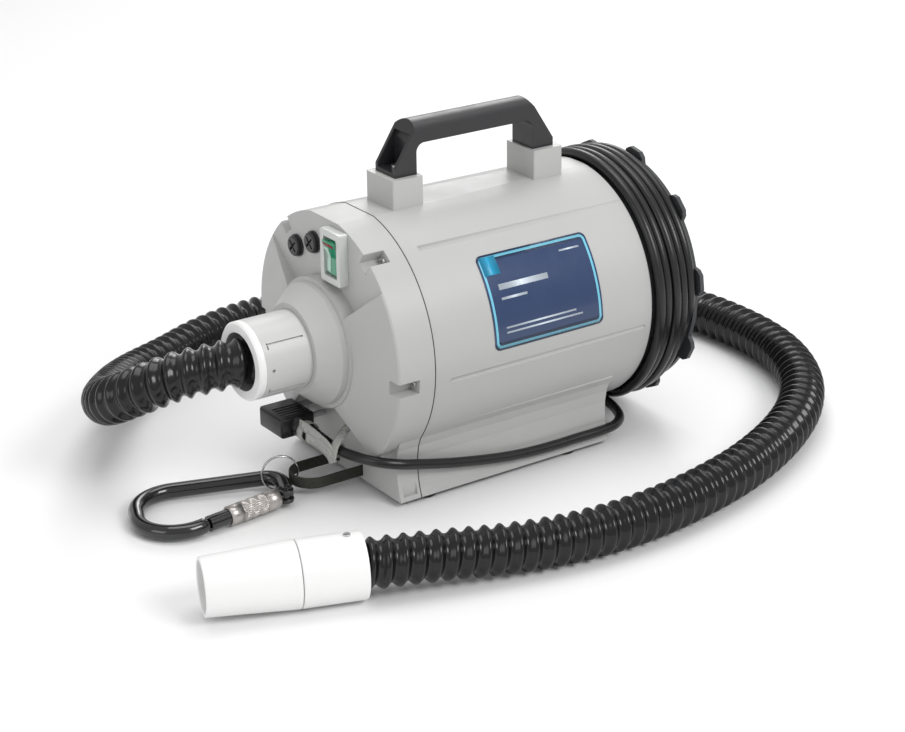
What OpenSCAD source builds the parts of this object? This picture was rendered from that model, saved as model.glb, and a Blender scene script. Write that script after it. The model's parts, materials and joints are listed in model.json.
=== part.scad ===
// Portable canister air dryer: a barrel housing with a carrying handle, a two-stage
// blower inside, a corrugated hose on its front port and a mains lead wound round its rear.
// +X is the side with the label, -Y is the front with the air port, +Z is up. The floor is z = 0.

/* [Housing] */
// Radius of the barrel at its seam with the front cap
barrel_r = 100; // [99:0.5:101]
// Length of the barrel behind the seam
barrel_len = 208; // [206:1:212]
// How much the barrel narrows towards its rear edge
barrel_taper = 1.4; // [0.5:0.1:1.6]
// Height of the barrel's axis over the floor
axis_z = 116; // [115:0.5:117]
// Thickness of the moulded walls
wall = 3; // [2.6:0.1:3.2]
// Height of the flat on top of the barrel, over its axis
flat_rise = 98.1; // [97.5:0.1:98.5]
// Length of the straight side of the front cap
cap_side = 31; // [30:0.5:32]
// Distance from the seam to the rear wall of the base
base_rear = 181; // [178:1:184]

/* [Air port] */
// Outer radius of the port tube
port_r = 30.5; // [30:0.1:31]
// Radius of the opening in the white cuff
port_bore_r = 22.5; // [21.5:0.1:23]
// Distance from the seam to the mouth of the port
port_reach = 108; // [104:1:112]

/* [Handle] */
// Width of the handle
handle_w = 27.2; // [25:0.1:30]
// Height of the handle's highest line over the floor
handle_top = 277; // [275:0.5:279]
// Length of the handle along the barrel
handle_len = 148; // [147:0.5:149]

/* [Controls] */
// Radius on which the switch and the fuse holders sit round the barrel's axis
control_r = 76; // [75:0.5:77]
// Half of the travel of the rocker, in degrees
rocker_tilt = 8; // [6:1:8]
// Diameter of a fuse holder's flange
fuse_flange_d = 17.5; // [16:0.5:18]

/* [Hose and cord] */
// Outside diameter of the corrugated hose
hose_d = 38; // [37:0.5:38]
// Diameter of the mains lead
cord_d = 8; // [7.6:0.1:8]
// Length of the nozzle's cone
nozzle_cone_len = 67; // [60:1:72]

/* [Carabiner] */
// Diameter of the carabiner's rod
rod_d = 12; // [11.4:0.1:12]
// Outside diameter of the split ring
ring_d = 31; // [30.5:0.1:31.2]

/* [Hidden] */

$fn = 96;
eps = 0.01;
slip = 0.3;         // gap between fixed parts that only sit near each other
run_gap = 0.05;     // radial gap of a running fit

// Place of the seam along Y, which centres the object over the origin.
seam_y = -26.67;

// Height of the feet, and the base's half width at heights over the floor.
foot_h = 4;
skirt = [[78.6, foot_h], [76.2, 11], [74.4, 19], [73.6, 28], [73.6, 36], [75.3, 46],
         [78.3, 53.5], [82.8, 60]];
base_front = -19;
foot_r = 9.3;
foot_x = 67;
foot_y = [11, 144];

// Front cap: distances forward of the seam, and the boss round the port.
cap_face_boss = 41.5;
boss_ring_r = 51.5;
boss_step_r = 47.8;
boss_ring_t = 42.5;
boss_step_t = 47.5;
boss_cone_r = 35.2;
boss_cone_t = 63;
panel_t = 31.4;
panel_from = 38;
panel_to = 141;
cuff_flange_t = 5.5;

// Screw pockets in the rim of the cap, as angles round the axis from +X towards +Z.
pocket_angles = [54, 126, -5.5, 185.5];
screw_ring_r = 93.5;

// Controls, as angles round the axis.
switch_angle = 75;
fuse_angles = [121.4, 101.2];
bezel_w = 27;
bezel_h = 41;
bezel_t = 7.6;
rocker_w = 16.4;
rocker_h = 27;
rocker_pivot_t = panel_t + 3.2;

// Handle feet on the pedestals.
pedestal_len = 27.6;
pedestal_w = 37.4;
pedestal_top = 237;
handle_y0 = 24;
handle_foot = 19.6;
grip_under = 261;

// Rear cover and the cord wound round it.
drum_r = 95;
drum_end = barrel_len + 43;
flange_t = 3.6;
lobe_r = 105.6;
lobe_start = 8;
cover_screw_angle = 10;
winding_from = barrel_len + 1;
winding_to = drum_end - 1;

// Blower and motor, as places along Y behind the seam.
shaft_r = 4;
bearing_r = 11;
bearing_w = 7;
motor_front = 60;
motor_rear = 146;
core_from = 98;
core_to = 134;
commutator_from = 76;
commutator_to = 88;
fan_from = 150;
fan_to = 190;
impeller_r = 57;
impeller_w = 8;
impeller_places = [160, 178];
eye_r = 19;

// The hose's route on the floor from the port to the nozzle, chosen by hand.
hose_route = [
    [0, -70, 116], [0, -88, 116], [0, -107, 116], [-6, -125, 114], [-20, -150, 108], [-41, -170, 95],
    [-76, -177, 76], [-128, -159, 54], [-186, -121, 36], [-224, -86, 25], [-252, -40, 20],
    [-274, 4, 19], [-287, 55, 19], [-288, 115, 19], [-276, 185, 19], [-248, 255, 19],
    [-204, 319, 19], [-146, 369, 19], [-80, 397, 19], [-10, 403, 19], [50, 393, 19],
    [102, 367, 19], [144, 328, 19], [177, 279, 19], [202, 224, 19], [217, 172, 19],
    [226, 117, 19], [227, 67, 19], [221, 21, 19.3], [210, -21, 20.5], [197, -63, 23.4],
    [184, -101, 24.6], [171.5, -137, 24.6]
];

// The lead's route along the base from the winding to the plug, chosen by hand.
cord_route = [
    [0, 213.5, 16.7], [18, 213.5, 16.3], [36, 212, 15.5], [54, 208, 15], [69, 200, 15],
    [78.5, 187, 15.2], [80.6, 171, 15], [80, 149, 14.6], [79.7, 126, 14.3], [79.6, 102, 15],
    [79.4, 79, 17], [79, 56, 20.3], [78.6, 32, 24.6], [78.5, 12, 29], [79, -4, 33.2],
    [78.8, -18, 36.8], [73.5, -31, 39.6], [63, -39.2, 40.6], [50, -43.2, 40.2],
    [36, -44.6, 39], [21, -44.8, 38.4]
];

// The plug, its collar and the tie that holds the lead to the cap.
plug_at = [-32.5, -51.5, 43.5];
plug_size = [35, 30, 17];
boot_end = [20.5, -44.9, 38.4];
tie_at = [31, -44.7, 38.8];

// Strap loop: a band on its edge, round the clamp inside the base and out to the ring.
strap_mid = [6.8, -54];
strap_r = 17;
strap_t = 1.8;
strap_z = [6.9, 15.9];
strap_back = -9;

// Split ring, standing where it passes through the strap's loop.
ring_wire_r = 1.25;
ring_angle = -18;
strap_cross = [strap_mid[0] + strap_r * sin(ring_angle), strap_mid[1] - strap_r * cos(ring_angle)];
ring_side = [-sin(ring_angle), cos(ring_angle)];
ring_offset = 8;
ring_r = ring_d / 2 - ring_wire_r;
ring_at = [strap_cross[0] - ring_offset * ring_side[0],
           strap_cross[1] - ring_offset * ring_side[1], ring_d / 2 + 0.2];

// Carabiner: points in its own plane, u towards the housing and v towards the label side.
rod_r = rod_d / 2;
carabiner_turn = 67.9;
carabiner_tip = 1.9;
carabiner_at = [-1.5, -1.5, 9.8];
spine_v = 22;
corner_r = 14;
corner_uv = [-83.5, spine_v + corner_r];
corner_side = 15;
wide_r = 30;
wide_uv = [-153, spine_v + wide_r];
wide_side = 12;
wide_top_r = 30;
ear_angle = 20;
ear_r = rod_r + 0.4;
near_c = [corner_uv[0], corner_uv[1] + corner_side];
hinge_uv = on_circle(near_c, corner_r, ear_angle);
nose_angle = 56.5;
far_c = [wide_uv[0] - wide_r + wide_top_r, wide_uv[1] + wide_side];
nose_uv = on_circle(far_c, wide_top_r, nose_angle);
gate_r = 4;
collar_r = 6;
neck_r = 3.9;
neck_len = 4;
sleeve_r = 7.8;
sleeve_len = 45;
sleeve_at = 7.5;
sleeve_travel = 8;

// ---------------------------------------------------------------- helpers

function on_circle(c, r, a) = [c[0] + r * cos(a), c[1] + r * sin(a)];

// Everything on the object is drawn with the seam at y = 0 and moved here.
module in_frame() {
    translate([0, seam_y, 0]) children();
}

// Local +Z points to the front, local X and Y are the world's X and Z.
module along(y) {
    translate([0, y, axis_z]) rotate([90, 0, 0]) children();
}

// A tube round the barrel's axis from y0 to y1.
module ring_y(y0, y1, r_out, r_in) {
    along(y1) difference() {
        cylinder(h = y1 - y0, r = r_out);
        translate([0, 0, -1]) cylinder(h = y1 - y0 + 2, r = r_in);
    }
}

// A disc round the barrel's axis from y0 to y1.
module disc_y(y0, y1, r) {
    along(y1) cylinder(h = y1 - y0, r = r);
}

// A rectangle with round corners, centred.
module round_rect(w, h, r) {
    square([w - 2 * r, h], center = true);
    square([w, h - 2 * r], center = true);
    for (sx = [-1, 1], sy = [-1, 1])
        translate([sx * (w / 2 - r), sy * (h / 2 - r)]) circle(r, $fn = 32);
}

// Outline of the base across the barrel, pulled in by d on both sides.
function skirt_side(d) = [for (p = skirt) [p[0] - d, p[1]]];
function flip_x(points) = [for (i = [len(points) - 1:-1:0]) [-points[i][0], points[i][1]]];
module skirt_outline(d, low) {
    side = concat([[skirt[0][0] - d, low]], skirt_side(d), [[60, 100]]);
    polygon(concat(side, flip_x(side)));
}
module skirt_block(y0, y1, d, low) {
    translate([0, y1, 0]) rotate([90, 0, 0]) linear_extrude(y1 - y0) skirt_outline(d, low);
}

// Keeps what lies under a height.
module under(z) {
    intersection() {
        children();
        translate([-200, -200, -50]) cube([400, 600, z + 50]);
    }
}

// A screw along local Z: a round head with a cross recess, and its shank below it.
module screw(head_r, head_h, shank_r, shank_h) {
    difference() {
        cylinder(h = head_h, r = head_r, $fn = 32);
        translate([0, 0, head_h]) for (a = [0, 90]) rotate(a)
            cube([head_r * 1.2, head_r * 0.3, head_h], center = true);
    }
    translate([0, 0, -shank_h]) cylinder(h = shank_h + eps, r = shank_r, $fn = 32);
}

// Points on a smooth curve through a route, with n steps between neighbours.
function spline_at(p, i, t) =
    let (n = len(p),
         a = p[max(i - 1, 0)], b = p[i], c = p[min(i + 1, n - 1)], d = p[min(i + 2, n - 1)])
    0.5 * ((2 * b) + (c - a) * t + (2 * a - 5 * b + 4 * c - d) * t * t
           + (3 * b - a - 3 * c + d) * t * t * t);
function smooth(p, n) = concat([for (i = [0:len(p) - 2], k = [0:n - 1]) spline_at(p, i, k / n)],
                               [p[len(p) - 1]]);
function unit(v) = v / norm(v);
function heading(p, i) = unit(p[min(i + 1, len(p) - 1)] - p[max(i - 1, 0)]);
function ring_points(c, t, r, sides) =
    let (side = unit(cross(t, [0, 0, 1])), up = cross(side, t))
    [for (k = [0:sides - 1]) c + r * (cos(360 * k / sides) * side + sin(360 * k / sides) * up)];

// A closed round tube along a list of points.
module swept_tube(p, r, sides) {
    n = len(p);
    points = [for (i = [0:n - 1]) each ring_points(p[i], heading(p, i), r, sides)];
    walls = [for (i = [0:n - 2], k = [0:sides - 1])
        [i * sides + k, i * sides + (k + 1) % sides,
         (i + 1) * sides + (k + 1) % sides, (i + 1) * sides + k]];
    start_cap = [for (k = [sides - 1:-1:0]) k];
    end_cap = [for (k = [0:sides - 1]) (n - 1) * sides + k];
    polyhedron(points = points, faces = concat([start_cap], walls, [end_cap]), convexity = 10);
}

// ---------------------------------------------------------------- housing

module barrel_outside() {
    edge = 1.5;
    rear_r = barrel_r - barrel_taper;
    along(barrel_len) rotate_extrude($fn = 180)
        polygon([[0, 0], [rear_r - edge, 0], [rear_r, edge], [barrel_r, barrel_len - 0.4],
                 [barrel_r - 0.4, barrel_len], [0, barrel_len]]);
}

module barrel_inside(extra) {
    along(barrel_len + extra) rotate_extrude($fn = 180)
        polygon([[0, 0], [barrel_r - barrel_taper - wall, 0], [barrel_r - wall, barrel_len + 2 * extra],
                 [0, barrel_len + 2 * extra]]);
}

module pedestal(y) {
    translate([0, y + pedestal_len / 2, axis_z + 90]) linear_extrude(pedestal_top - axis_z - 90)
        round_rect(pedestal_w, pedestal_len, 1.5);
}

// Long grooves pressed into the barrel's sides.
module side_groove(angle, y0, y1) {
    for (m = [0, 1]) mirror([m, 0, 0]) along(y1) rotate([0, 0, angle])
        translate([barrel_r + 0.2, 0, 0]) cylinder(h = y1 - y0, r = 2.2, $fn = 32);
}

module barrel_shell() {
    color("gainsboro") in_frame() {
        difference() {
            union() {
                under(axis_z + flat_rise) barrel_outside();
                difference() {
                    skirt_block(0, base_rear, 0, foot_h);
                    skirt_block(-1, base_rear - wall, wall, -5);
                    disc_y(-2, barrel_len, barrel_r - 1.5);
                }
                for (y = [handle_y0 - 5.5, handle_y0 + handle_len - pedestal_len + 5.5])
                    pedestal(y);
            }
            under(axis_z + flat_rise - wall) barrel_inside(1);
            side_groove(54, 14, barrel_len + 1);
            side_groove(-7, 14, barrel_len - 8);
            for (y = [handle_y0 + 10, handle_y0 + handle_len - 10])
                translate([0, y, 215]) cylinder(h = 30, r = 2.1, $fn = 32);
        }
        // Bosses for the cap's screws.
        for (a = pocket_angles) along(22) rotate([0, 0, a]) translate([screw_ring_r, 0, 0])
            difference() {
                cylinder(h = 22, r = 4.2, $fn = 32);
                translate([0, 0, -1]) cylinder(h = 24, r = 1.65, $fn = 32);
            }
        // Ledges that the two bulkheads rest on.
        for (y = [77, 194]) ring_y(y, y + 3, barrel_r - wall - 0.2, 90);
        // Posts down to the base plate.
        for (x = [-34, 34], y = [24, 160]) difference() {
            translate([x, y, foot_h + wall + eps]) cylinder(h = 20, r = 4, $fn = 32);
            translate([x, y, foot_h]) cylinder(h = 16, r = 1.65, $fn = 32);
            disc_y(0, barrel_len, barrel_r - 1);
        }
    }
}

// Solid of the cap before it is hollowed; t is the wall taken off all round.
module cap_body(t) {
    rim = barrel_r - t;
    along(0) rotate_extrude($fn = 180)
        polygon([[0, 0], [rim - 0.4, 0], [rim, 0.4], [rim, cap_side - t], [rim - 1.2, cap_side + 1.2 - t],
                 [boss_ring_r - t, cap_face_boss - t], [boss_ring_r - t, boss_ring_t - t],
                 [boss_step_r - t, boss_ring_t + 0.4 - t], [boss_step_r - t, boss_step_t - t],
                 [boss_cone_r - t * 0.6, boss_cone_t - t], [0, boss_cone_t - t]]);
}

// The sector cut back for the control panel.
module panel_sector(depth, grow) {
    along(0) rotate([0, 0, panel_from - grow]) rotate_extrude(angle = panel_to - panel_from + 2 * grow)
        translate([boss_ring_r - 0.1 - grow, depth]) square([60, 40]);
}

// The pocket under the port where the lead is tied.
module tie_pocket(depth, grow) {
    difference() {
        translate([0, depth, 0]) rotate([90, 0, 0]) linear_extrude(40)
            polygon([[-23 - grow, 69 + grow], [23 + grow, 69 + grow], [51 + grow, 46 + grow],
                     [62 + grow, 10], [-62 - grow, 10], [-51 - grow, 46 + grow]]);
        along(10) cylinder(h = 90, r = boss_ring_r - 0.1 - grow);
    }
}

module rim_pockets(r0, w, t0) {
    for (a = pocket_angles) along(0) rotate([0, 0, a])
        translate([r0, -w / 2, t0]) cube([barrel_r + 4 - r0, w, 40]);
}

module front_cap() {
    color("gainsboro") in_frame() difference() {
        union() {
            difference() {
                under(axis_z + flat_rise) cap_body(0);
                panel_sector(panel_t, 0);
                tie_pocket(base_front, 0);
                difference() {
                    under(axis_z + flat_rise - wall) translate([0, eps, 0]) cap_body(wall);
                    panel_sector(panel_t - wall, 2);
                    tie_pocket(base_front + wall, wall);
                    rim_pockets(screw_ring_r - 6.5, 14, -1);
                }
                rim_pockets(screw_ring_r - 4, 11, 14);
            }
            difference() {
                skirt_block(base_front, 0, 0, foot_h);
                skirt_block(base_front + wall, 1, wall, -5);
                disc_y(-60, 10, barrel_r - 1.5);
            }
            difference() {
                skirt_block(base_front, base_front + wall, 0, foot_h);
                disc_y(-60, 10, barrel_r - 1.5);
            }
        }
        along(5) cylinder(h = 80, r = port_r + 0.1);
        for (a = pocket_angles) along(1) rotate([0, 0, a]) translate([screw_ring_r, 0, 0])
            cylinder(h = 40, r = 1.75, $fn = 32);
        // Cut-outs for the switch and the fuse holders.
        along(0) rotate([0, 0, switch_angle - 90]) translate([0, control_r, 0])
            rotate([0, 0, 90 - switch_angle]) linear_extrude(40) square([21, 31.6], center = true);
        for (a = fuse_angles) along(0) rotate([0, 0, a]) translate([control_r, 0, 0])
            cylinder(h = 40, r = 6.6, $fn = 48);
        // Slots that the strap passes through.
        for (s = [-1, 1])
            translate([strap_mid[0] + s * strap_r, base_front + 1, 0.5 * (strap_z[0] + strap_z[1])])
            cube([strap_t + 1, 12, strap_z[1] - strap_z[0] + 1], center = true);
        // Shallow panel in each front corner of the base.
        for (s = [-1, 1]) translate([s * 79, base_front + 10, 16]) cube([8, 12, 17], center = true);
    }
}

module base_plate() {
    color("dimgray") in_frame() difference() {
        union() {
            translate([-74.5, base_front + wall + slip, foot_h])
                cube([149, base_rear - base_front - 2 * (wall + slip), wall - slip]);
            for (x = [-foot_x, foot_x], y = foot_y) translate([x, y, foot_h])
                cylinder(h = 10, r = 5, $fn = 32);
        }
        for (x = [-foot_x, foot_x], y = foot_y) translate([x, y, 0]) cylinder(h = 12.5, r = 1.65, $fn = 32);
        for (x = [-34, 34], y = [24, 160]) translate([x, y, 0]) cylinder(h = 12, r = 1.9, $fn = 32);
    }
}

module base_screws() {
    color("silver") in_frame() for (x = [-34, 34], y = [24, 160])
        translate([x, y, foot_h]) rotate([180, 0, 0]) screw(3.4, 2, 1.6, 14);
}

module feet() {
    color("black") in_frame() for (x = [-foot_x, foot_x], y = foot_y) translate([x, y, 0]) difference() {
        union() {
            cylinder(h = 1, r1 = foot_r - 1, r2 = foot_r, $fn = 64);
            translate([0, 0, 1]) cylinder(h = foot_h - 1, r = foot_r, $fn = 64);
        }
        translate([0, 0, -1]) cylinder(h = 3.4, r = 4.2, $fn = 32);
        translate([0, 0, -1]) cylinder(h = 6, r = 1.9, $fn = 32);
    }
}

module foot_screws() {
    color("silver") in_frame() for (x = [-foot_x, foot_x], y = foot_y)
        translate([x, y, 2.35]) rotate([180, 0, 0]) screw(3.6, 1.8, 1.6, 9);
}

module housing_screws() {
    color("gray") in_frame() for (a = pocket_angles) along(0) rotate([0, 0, a])
        translate([screw_ring_r, 0, 14 + eps]) screw(3.1, 2.4, 1.55, 30);
}

// ---------------------------------------------------------------- handle and label

function arc(cx, cy, r, from, to, n) =
    [for (i = [0:n]) [cx + r * cos(from + (to - from) * i / n), cy + r * sin(from + (to - from) * i / n)]];

module handle() {
    half = handle_len / 2;
    top_half = half - 18.4;
    inner = half - handle_foot;
    slant_z = pedestal_top + 6.5;
    corner = 7;
    crown_r = 19.6;
    side = concat([[-half, pedestal_top], [-half, slant_z], [-top_half, handle_top - 5],
                   [-top_half + 3, handle_top + 1]],
                  [[top_half - 3, handle_top + 1], [top_half, handle_top - 5], [half, slant_z],
                   [half, pedestal_top], [inner, pedestal_top]],
                  arc(inner - corner, grip_under - corner, corner, 0, 90, 6),
                  arc(-inner + corner, grip_under - corner, corner, 90, 180, 6),
                  [[-inner, pedestal_top]]);
    color("#2b2b2d") in_frame() translate([0, handle_y0 + half, 0]) difference() {
        intersection() {
            rotate([90, 0, 90]) translate([0, 0, -handle_w / 2]) linear_extrude(handle_w) polygon(side);
            union() {
                translate([0, 100, handle_top - crown_r]) rotate([90, 0, 0]) cylinder(h = 200, r = crown_r);
                translate([-40, -100, 200]) cube([80, 200, handle_top - crown_r - 200 + 2]);
            }
        }
        // The outer faces of the legs are open, with a screw on the floor of each.
        for (m = [0, 1]) mirror([0, m, 0])
            rotate([90, 0, 90]) translate([0, 0, -handle_w / 2 + 3]) linear_extrude(handle_w - 6)
                polygon([[-half - 10, pedestal_top + 3.5], [-inner - 3.4, pedestal_top + 3.5],
                         [-inner - 3.4, handle_top - 14], [-top_half + 1, handle_top - 9],
                         [-half - 10, handle_top - 9]]);
        for (s = [-1, 1]) translate([0, s * (half - 10), 230]) cylinder(h = 20, r = 2.2, $fn = 32);
    }
}

module handle_screws() {
    color("silver") in_frame() for (y = [handle_y0 + 10, handle_y0 + handle_len - 10])
        translate([0, y, pedestal_top + 3.5 + eps]) screw(3.9, 2.6, 2, 20);
}

module label() {
    from = 1;
    to = 43.7;
    y0 = 54.5;
    y1 = 157.5;
    t = 0.4;
    r0 = barrel_r - barrel_taper * y0 / barrel_len + 0.05;
    r1 = barrel_r - barrel_taper * y1 / barrel_len + 0.05;
    color("#1f3a5f") in_frame() along(y1) rotate([0, 0, from])
        rotate_extrude(angle = to - from, $fn = 180)
            polygon([[r1, 0], [r1 + t, 0], [r0 + t, y1 - y0], [r0, y1 - y0]]);
}

// ---------------------------------------------------------------- controls

module at_control(angle) {
    along(0) rotate([0, 0, angle]) translate([control_r, 0, 0]) rotate([0, 0, -angle]) children();
}

module switch_bezel() {
    color("whitesmoke") in_frame() at_control(switch_angle) difference() {
        translate([0, 0, panel_t + eps]) linear_extrude(bezel_t) round_rect(bezel_w, bezel_h, 1.6);
        translate([0, 0, panel_t - 1]) linear_extrude(bezel_t + 3)
            round_rect(rocker_w + 1.2, rocker_h + 3.6, 0.6);
        translate([-10, 0, rocker_pivot_t]) rotate([0, 90, 0]) cylinder(h = 20, r = 1.2 + run_gap, $fn = 32);
    }
}

module switch_body() {
    color("black") in_frame() at_control(switch_angle) {
        difference() {
            translate([0, 0, panel_t - 20]) linear_extrude(20 - eps) square([20.4, 31], center = true);
            translate([0, 0, panel_t - 6.2]) linear_extrude(10)
                square([rocker_w + 1.2, rocker_h + 3.4], center = true);
        }
        for (x = [-5, 5], y = [-10, 0, 10]) translate([x, y, panel_t - 25])
            cube([0.8, 4.6, 10.2], center = true);
    }
}

module rocker() {
    half_w = rocker_w / 2;
    h = rocker_h / 2;
    color("seagreen") in_frame() at_control(switch_angle) translate([0, 0, rocker_pivot_t])
        rotate([rocker_tilt, 0, 0]) {
            rotate([0, -90, 0]) translate([0, 0, -half_w]) linear_extrude(rocker_w)
                polygon([[-4.6, -4], [-2, -h + 0.5], [4.4, -h], [4.8, -h + 0.8], [2.6, 0],
                         [4.8, h - 0.8], [4.4, h], [-2, h - 0.5], [-4.6, 4]]);
            translate([-half_w - 0.9, 0, 0]) rotate([0, 90, 0])
                cylinder(h = rocker_w + 1.8, r = 1.2, $fn = 32);
        }
}

module fuse_holders() {
    color("#1c1c1e") in_frame() for (a = fuse_angles) at_control(a) difference() {
        union() {
            translate([0, 0, panel_t + eps]) cylinder(h = 1.8, r = fuse_flange_d / 2, $fn = 64);
            translate([0, 0, panel_t - 30]) cylinder(h = 30 + 2 * eps, r = 6.4, $fn = 48);
        }
        translate([0, 0, panel_t - 27]) cylinder(h = 40, r = 4.6 + run_gap, $fn = 48);
    }
}

module fuse_cap(angle) {
    cap_r = fuse_flange_d / 2 - 1;
    color("#262628") in_frame() at_control(angle) difference() {
        union() {
            translate([0, 0, panel_t + 1.9]) cylinder(h = 2.3, r = cap_r, $fn = 64);
            translate([0, 0, panel_t + 4.2]) cylinder(h = 0.7, r1 = cap_r, r2 = cap_r - 0.7, $fn = 64);
            translate([0, 0, panel_t - 6]) cylinder(h = 8, r = 4.6, $fn = 48);
        }
        translate([0, 0, panel_t + 5]) for (a = [45, 135]) rotate(a)
            cube([11, 1.8, 3], center = true);
        translate([0, 0, panel_t - 7]) cylinder(h = 6, r = 3.3, $fn = 32);
    }
}

module fuse_cap_left() { fuse_cap(fuse_angles[0]); }
module fuse_cap_right() { fuse_cap(fuse_angles[1]); }

// A cartridge fuse: a glass tube between two metal ends, carried by its cap.
module fuse_at(angle) {
    color("lightgray") in_frame() at_control(angle) translate([0, 0, panel_t - 22]) {
        cylinder(h = 5, r = 3.2, $fn = 32);
        translate([0, 0, 5 - eps]) cylinder(h = 11, r = 2.9, $fn = 32);
        translate([0, 0, 16 - 2 * eps]) cylinder(h = 4.8, r = 3.2, $fn = 32);
    }
}
module fuse_left() { fuse_at(fuse_angles[0]); }
module fuse_right() { fuse_at(fuse_angles[1]); }

// ---------------------------------------------------------------- air port, hose and nozzle

module port_tube() {
    mouth = port_reach - cuff_flange_t;
    tongue = 39;
    color("gainsboro") in_frame() difference() {
        union() {
            along(0) translate([0, 0, 34]) cylinder(h = mouth - 34, r = port_r, $fn = 120);
            along(0) translate([0, 0, 34]) cylinder(h = 3, r = port_r + 8, $fn = 120);
        }
        along(1) cylinder(h = 140, r = port_r - 2.4, $fn = 120);
        // Slits that free the latch tongue, and the hole that takes the cuff's pip.
        for (a = [-tongue, tongue]) along(0) rotate([0, 0, a])
            translate([port_r - 1, 0, 0.5 * (67 + mouth - 4)])
                cube([8, 1.1, mouth - 4 - 67], center = true);
        for (a = [-tongue, tongue]) along(0) rotate([0, 0, a + (a < 0 ? 3 : -3)])
            translate([port_r - 1, 0, mouth - 4.5]) cube([8, 5, 1.1], center = true);
        along(0) translate([port_r, 0, mouth - 6]) rotate([0, 90, 0])
            cylinder(h = 20, r = 1.3, center = true, $fn = 24);
    }
}

module hose_cuff() {
    inner = port_r - 2.4 - 0.15;
    color("white") in_frame() along(0) difference() {
        union() {
            translate([0, 0, port_reach - cuff_flange_t + eps]) rotate_extrude($fn = 120)
                polygon([[0, 0], [port_r, 0], [port_r, 3.9], [port_r - 1.6, cuff_flange_t],
                         [0, cuff_flange_t]]);
            translate([0, 0, 62])
                cylinder(h = port_reach - cuff_flange_t - 62 + 2 * eps, r = inner, $fn = 120);
        }
        translate([0, 0, 92]) cylinder(h = 40, r = port_bore_r, $fn = 120);
        translate([0, 0, 68]) cylinder(h = 30, r = hose_d / 2 + slip, $fn = 96);
        translate([0, 0, 40]) cylinder(h = 40, r = hose_d / 2 - 3, $fn = 96);
    }
}

module hose() {
    color("#1a1a1c") in_frame() swept_tube(smooth(hose_route, 2), hose_d / 2, 12);
}

nozzle_from = [171.5, -137, 24.6];
nozzle_turn = -19.1;
cuff_len = 47;
cuff_r = 24.6;
mouth_r = 21.2;
mouth_bore_r = 18.6;
mouth_len = 12;
socket_len = 18.5;

// Local +Z runs out of the hose's end through the nozzle.
module at_nozzle() {
    in_frame() translate(nozzle_from) rotate([0, 0, nozzle_turn]) rotate([90, 0, 0]) children();
}

module nozzle_cuff() {
    color("white") at_nozzle() translate([0, 0, -22]) difference() {
        union() {
            cylinder(h = 1.2, r1 = cuff_r - 1.2, r2 = cuff_r);
            translate([0, 0, 1.2]) cylinder(h = cuff_len - 1.2, r = cuff_r);
            translate([0, 0, cuff_len - eps]) cylinder(h = 18, r = cuff_r - 3);
        }
        translate([0, 0, -1]) cylinder(h = 23.8, r = hose_d / 2 + slip);
        translate([0, 0, 10]) cylinder(h = 80, r = hose_d / 2 - 2.4);
        translate([0, 16, 11]) rotate([-90, 0, 0]) cylinder(h = 20, r = 1.5, $fn = 24);
    }
}

module nozzle_screw() {
    color("silver") at_nozzle() translate([0, cuff_r + eps, -11]) rotate([-90, 0, 0])
        screw(2.6, 1.1, 1.4, 4.8);
}

module nozzle_tip() {
    color("white") at_nozzle() translate([0, 0, cuff_len - 22]) difference() {
        union() {
            cylinder(h = nozzle_cone_len - 1, r1 = cuff_r, r2 = mouth_r);
            translate([0, 0, nozzle_cone_len - 1]) cylinder(h = 1, r1 = mouth_r, r2 = mouth_r - 0.8);
        }
        translate([0, 0, -1]) cylinder(h = socket_len + 1, r = cuff_r - 3 + run_gap);
        translate([0, 0, socket_len - 0.1])
            cylinder(h = nozzle_cone_len - mouth_len - socket_len + 0.1,
                     r1 = cuff_r - 4.2, r2 = mouth_bore_r);
        translate([0, 0, nozzle_cone_len - mouth_len - eps]) cylinder(h = mouth_len + 1, r = mouth_bore_r);
    }
}

// ---------------------------------------------------------------- rear cover and filter

module rear_cover() {
    lobes = 10;
    color("#3b3c3f") in_frame() difference() {
        union() {
            ring_y(200.3, drum_end, drum_r, drum_r - wall);
            along(drum_end + flange_t) linear_extrude(flange_t + 0.1) {
                circle(drum_r + 3, $fn = 180);
                for (k = [0:lobes - 1]) rotate(360 / lobes * k + lobe_start)
                    polygon([[drum_r - 6, -12], [drum_r + 2, -12], [lobe_r - 3, -10], [lobe_r, -6],
                             [lobe_r, 6], [lobe_r - 3, 10], [drum_r + 2, 12], [drum_r - 6, 12]]);
            }
        }
        // Intake slots, in three rings.
        for (band = [[22, 24, 12], [42, 24, 16], [62, 22, 24]], k = [0:band[2] - 1])
            along(drum_end + flange_t + 1) rotate([0, 0, 360 / band[2] * k])
                translate([band[0], -1.9, 0]) cube([band[1] - 8, 3.8, 12]);
        at_cover_screws(drum_end + flange_t + 1) cylinder(h = 12, r = 1.9, $fn = 32);
        // Hole for the lead's grommet.
        grommet_place() cylinder(h = 20, r = 6.2, center = true, $fn = 32);
    }
}

// Places of the rear cover's screws, with local +Z towards the front.
module at_cover_screws(y) {
    for (k = [0:3]) along(y) rotate([0, 0, cover_screw_angle + 90 * k]) translate([86, 0, 0]) children();
}

// Local +Z points out of the drum where the lead leaves it.
grommet_angle = 330;
grommet_y = winding_to - 7;
module grommet_place() {
    along(grommet_y) rotate([0, 0, grommet_angle]) translate([drum_r - 1, 0, 0])
        rotate([0, 90, 0]) children();
}

module cord_grommet() {
    color("black") in_frame() difference() {
        intersection() {
            grommet_place() translate([0, 0, -9]) union() {
                cylinder(h = 12, r = 6.1, $fn = 32);
                cylinder(h = 6, r = 7.6, $fn = 32);
            }
            disc_y(200, 270, drum_r - 0.1);
        }
        grommet_place() cylinder(h = 40, r = cord_d / 2 + 0.1, center = true, $fn = 32);
    }
}

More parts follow.
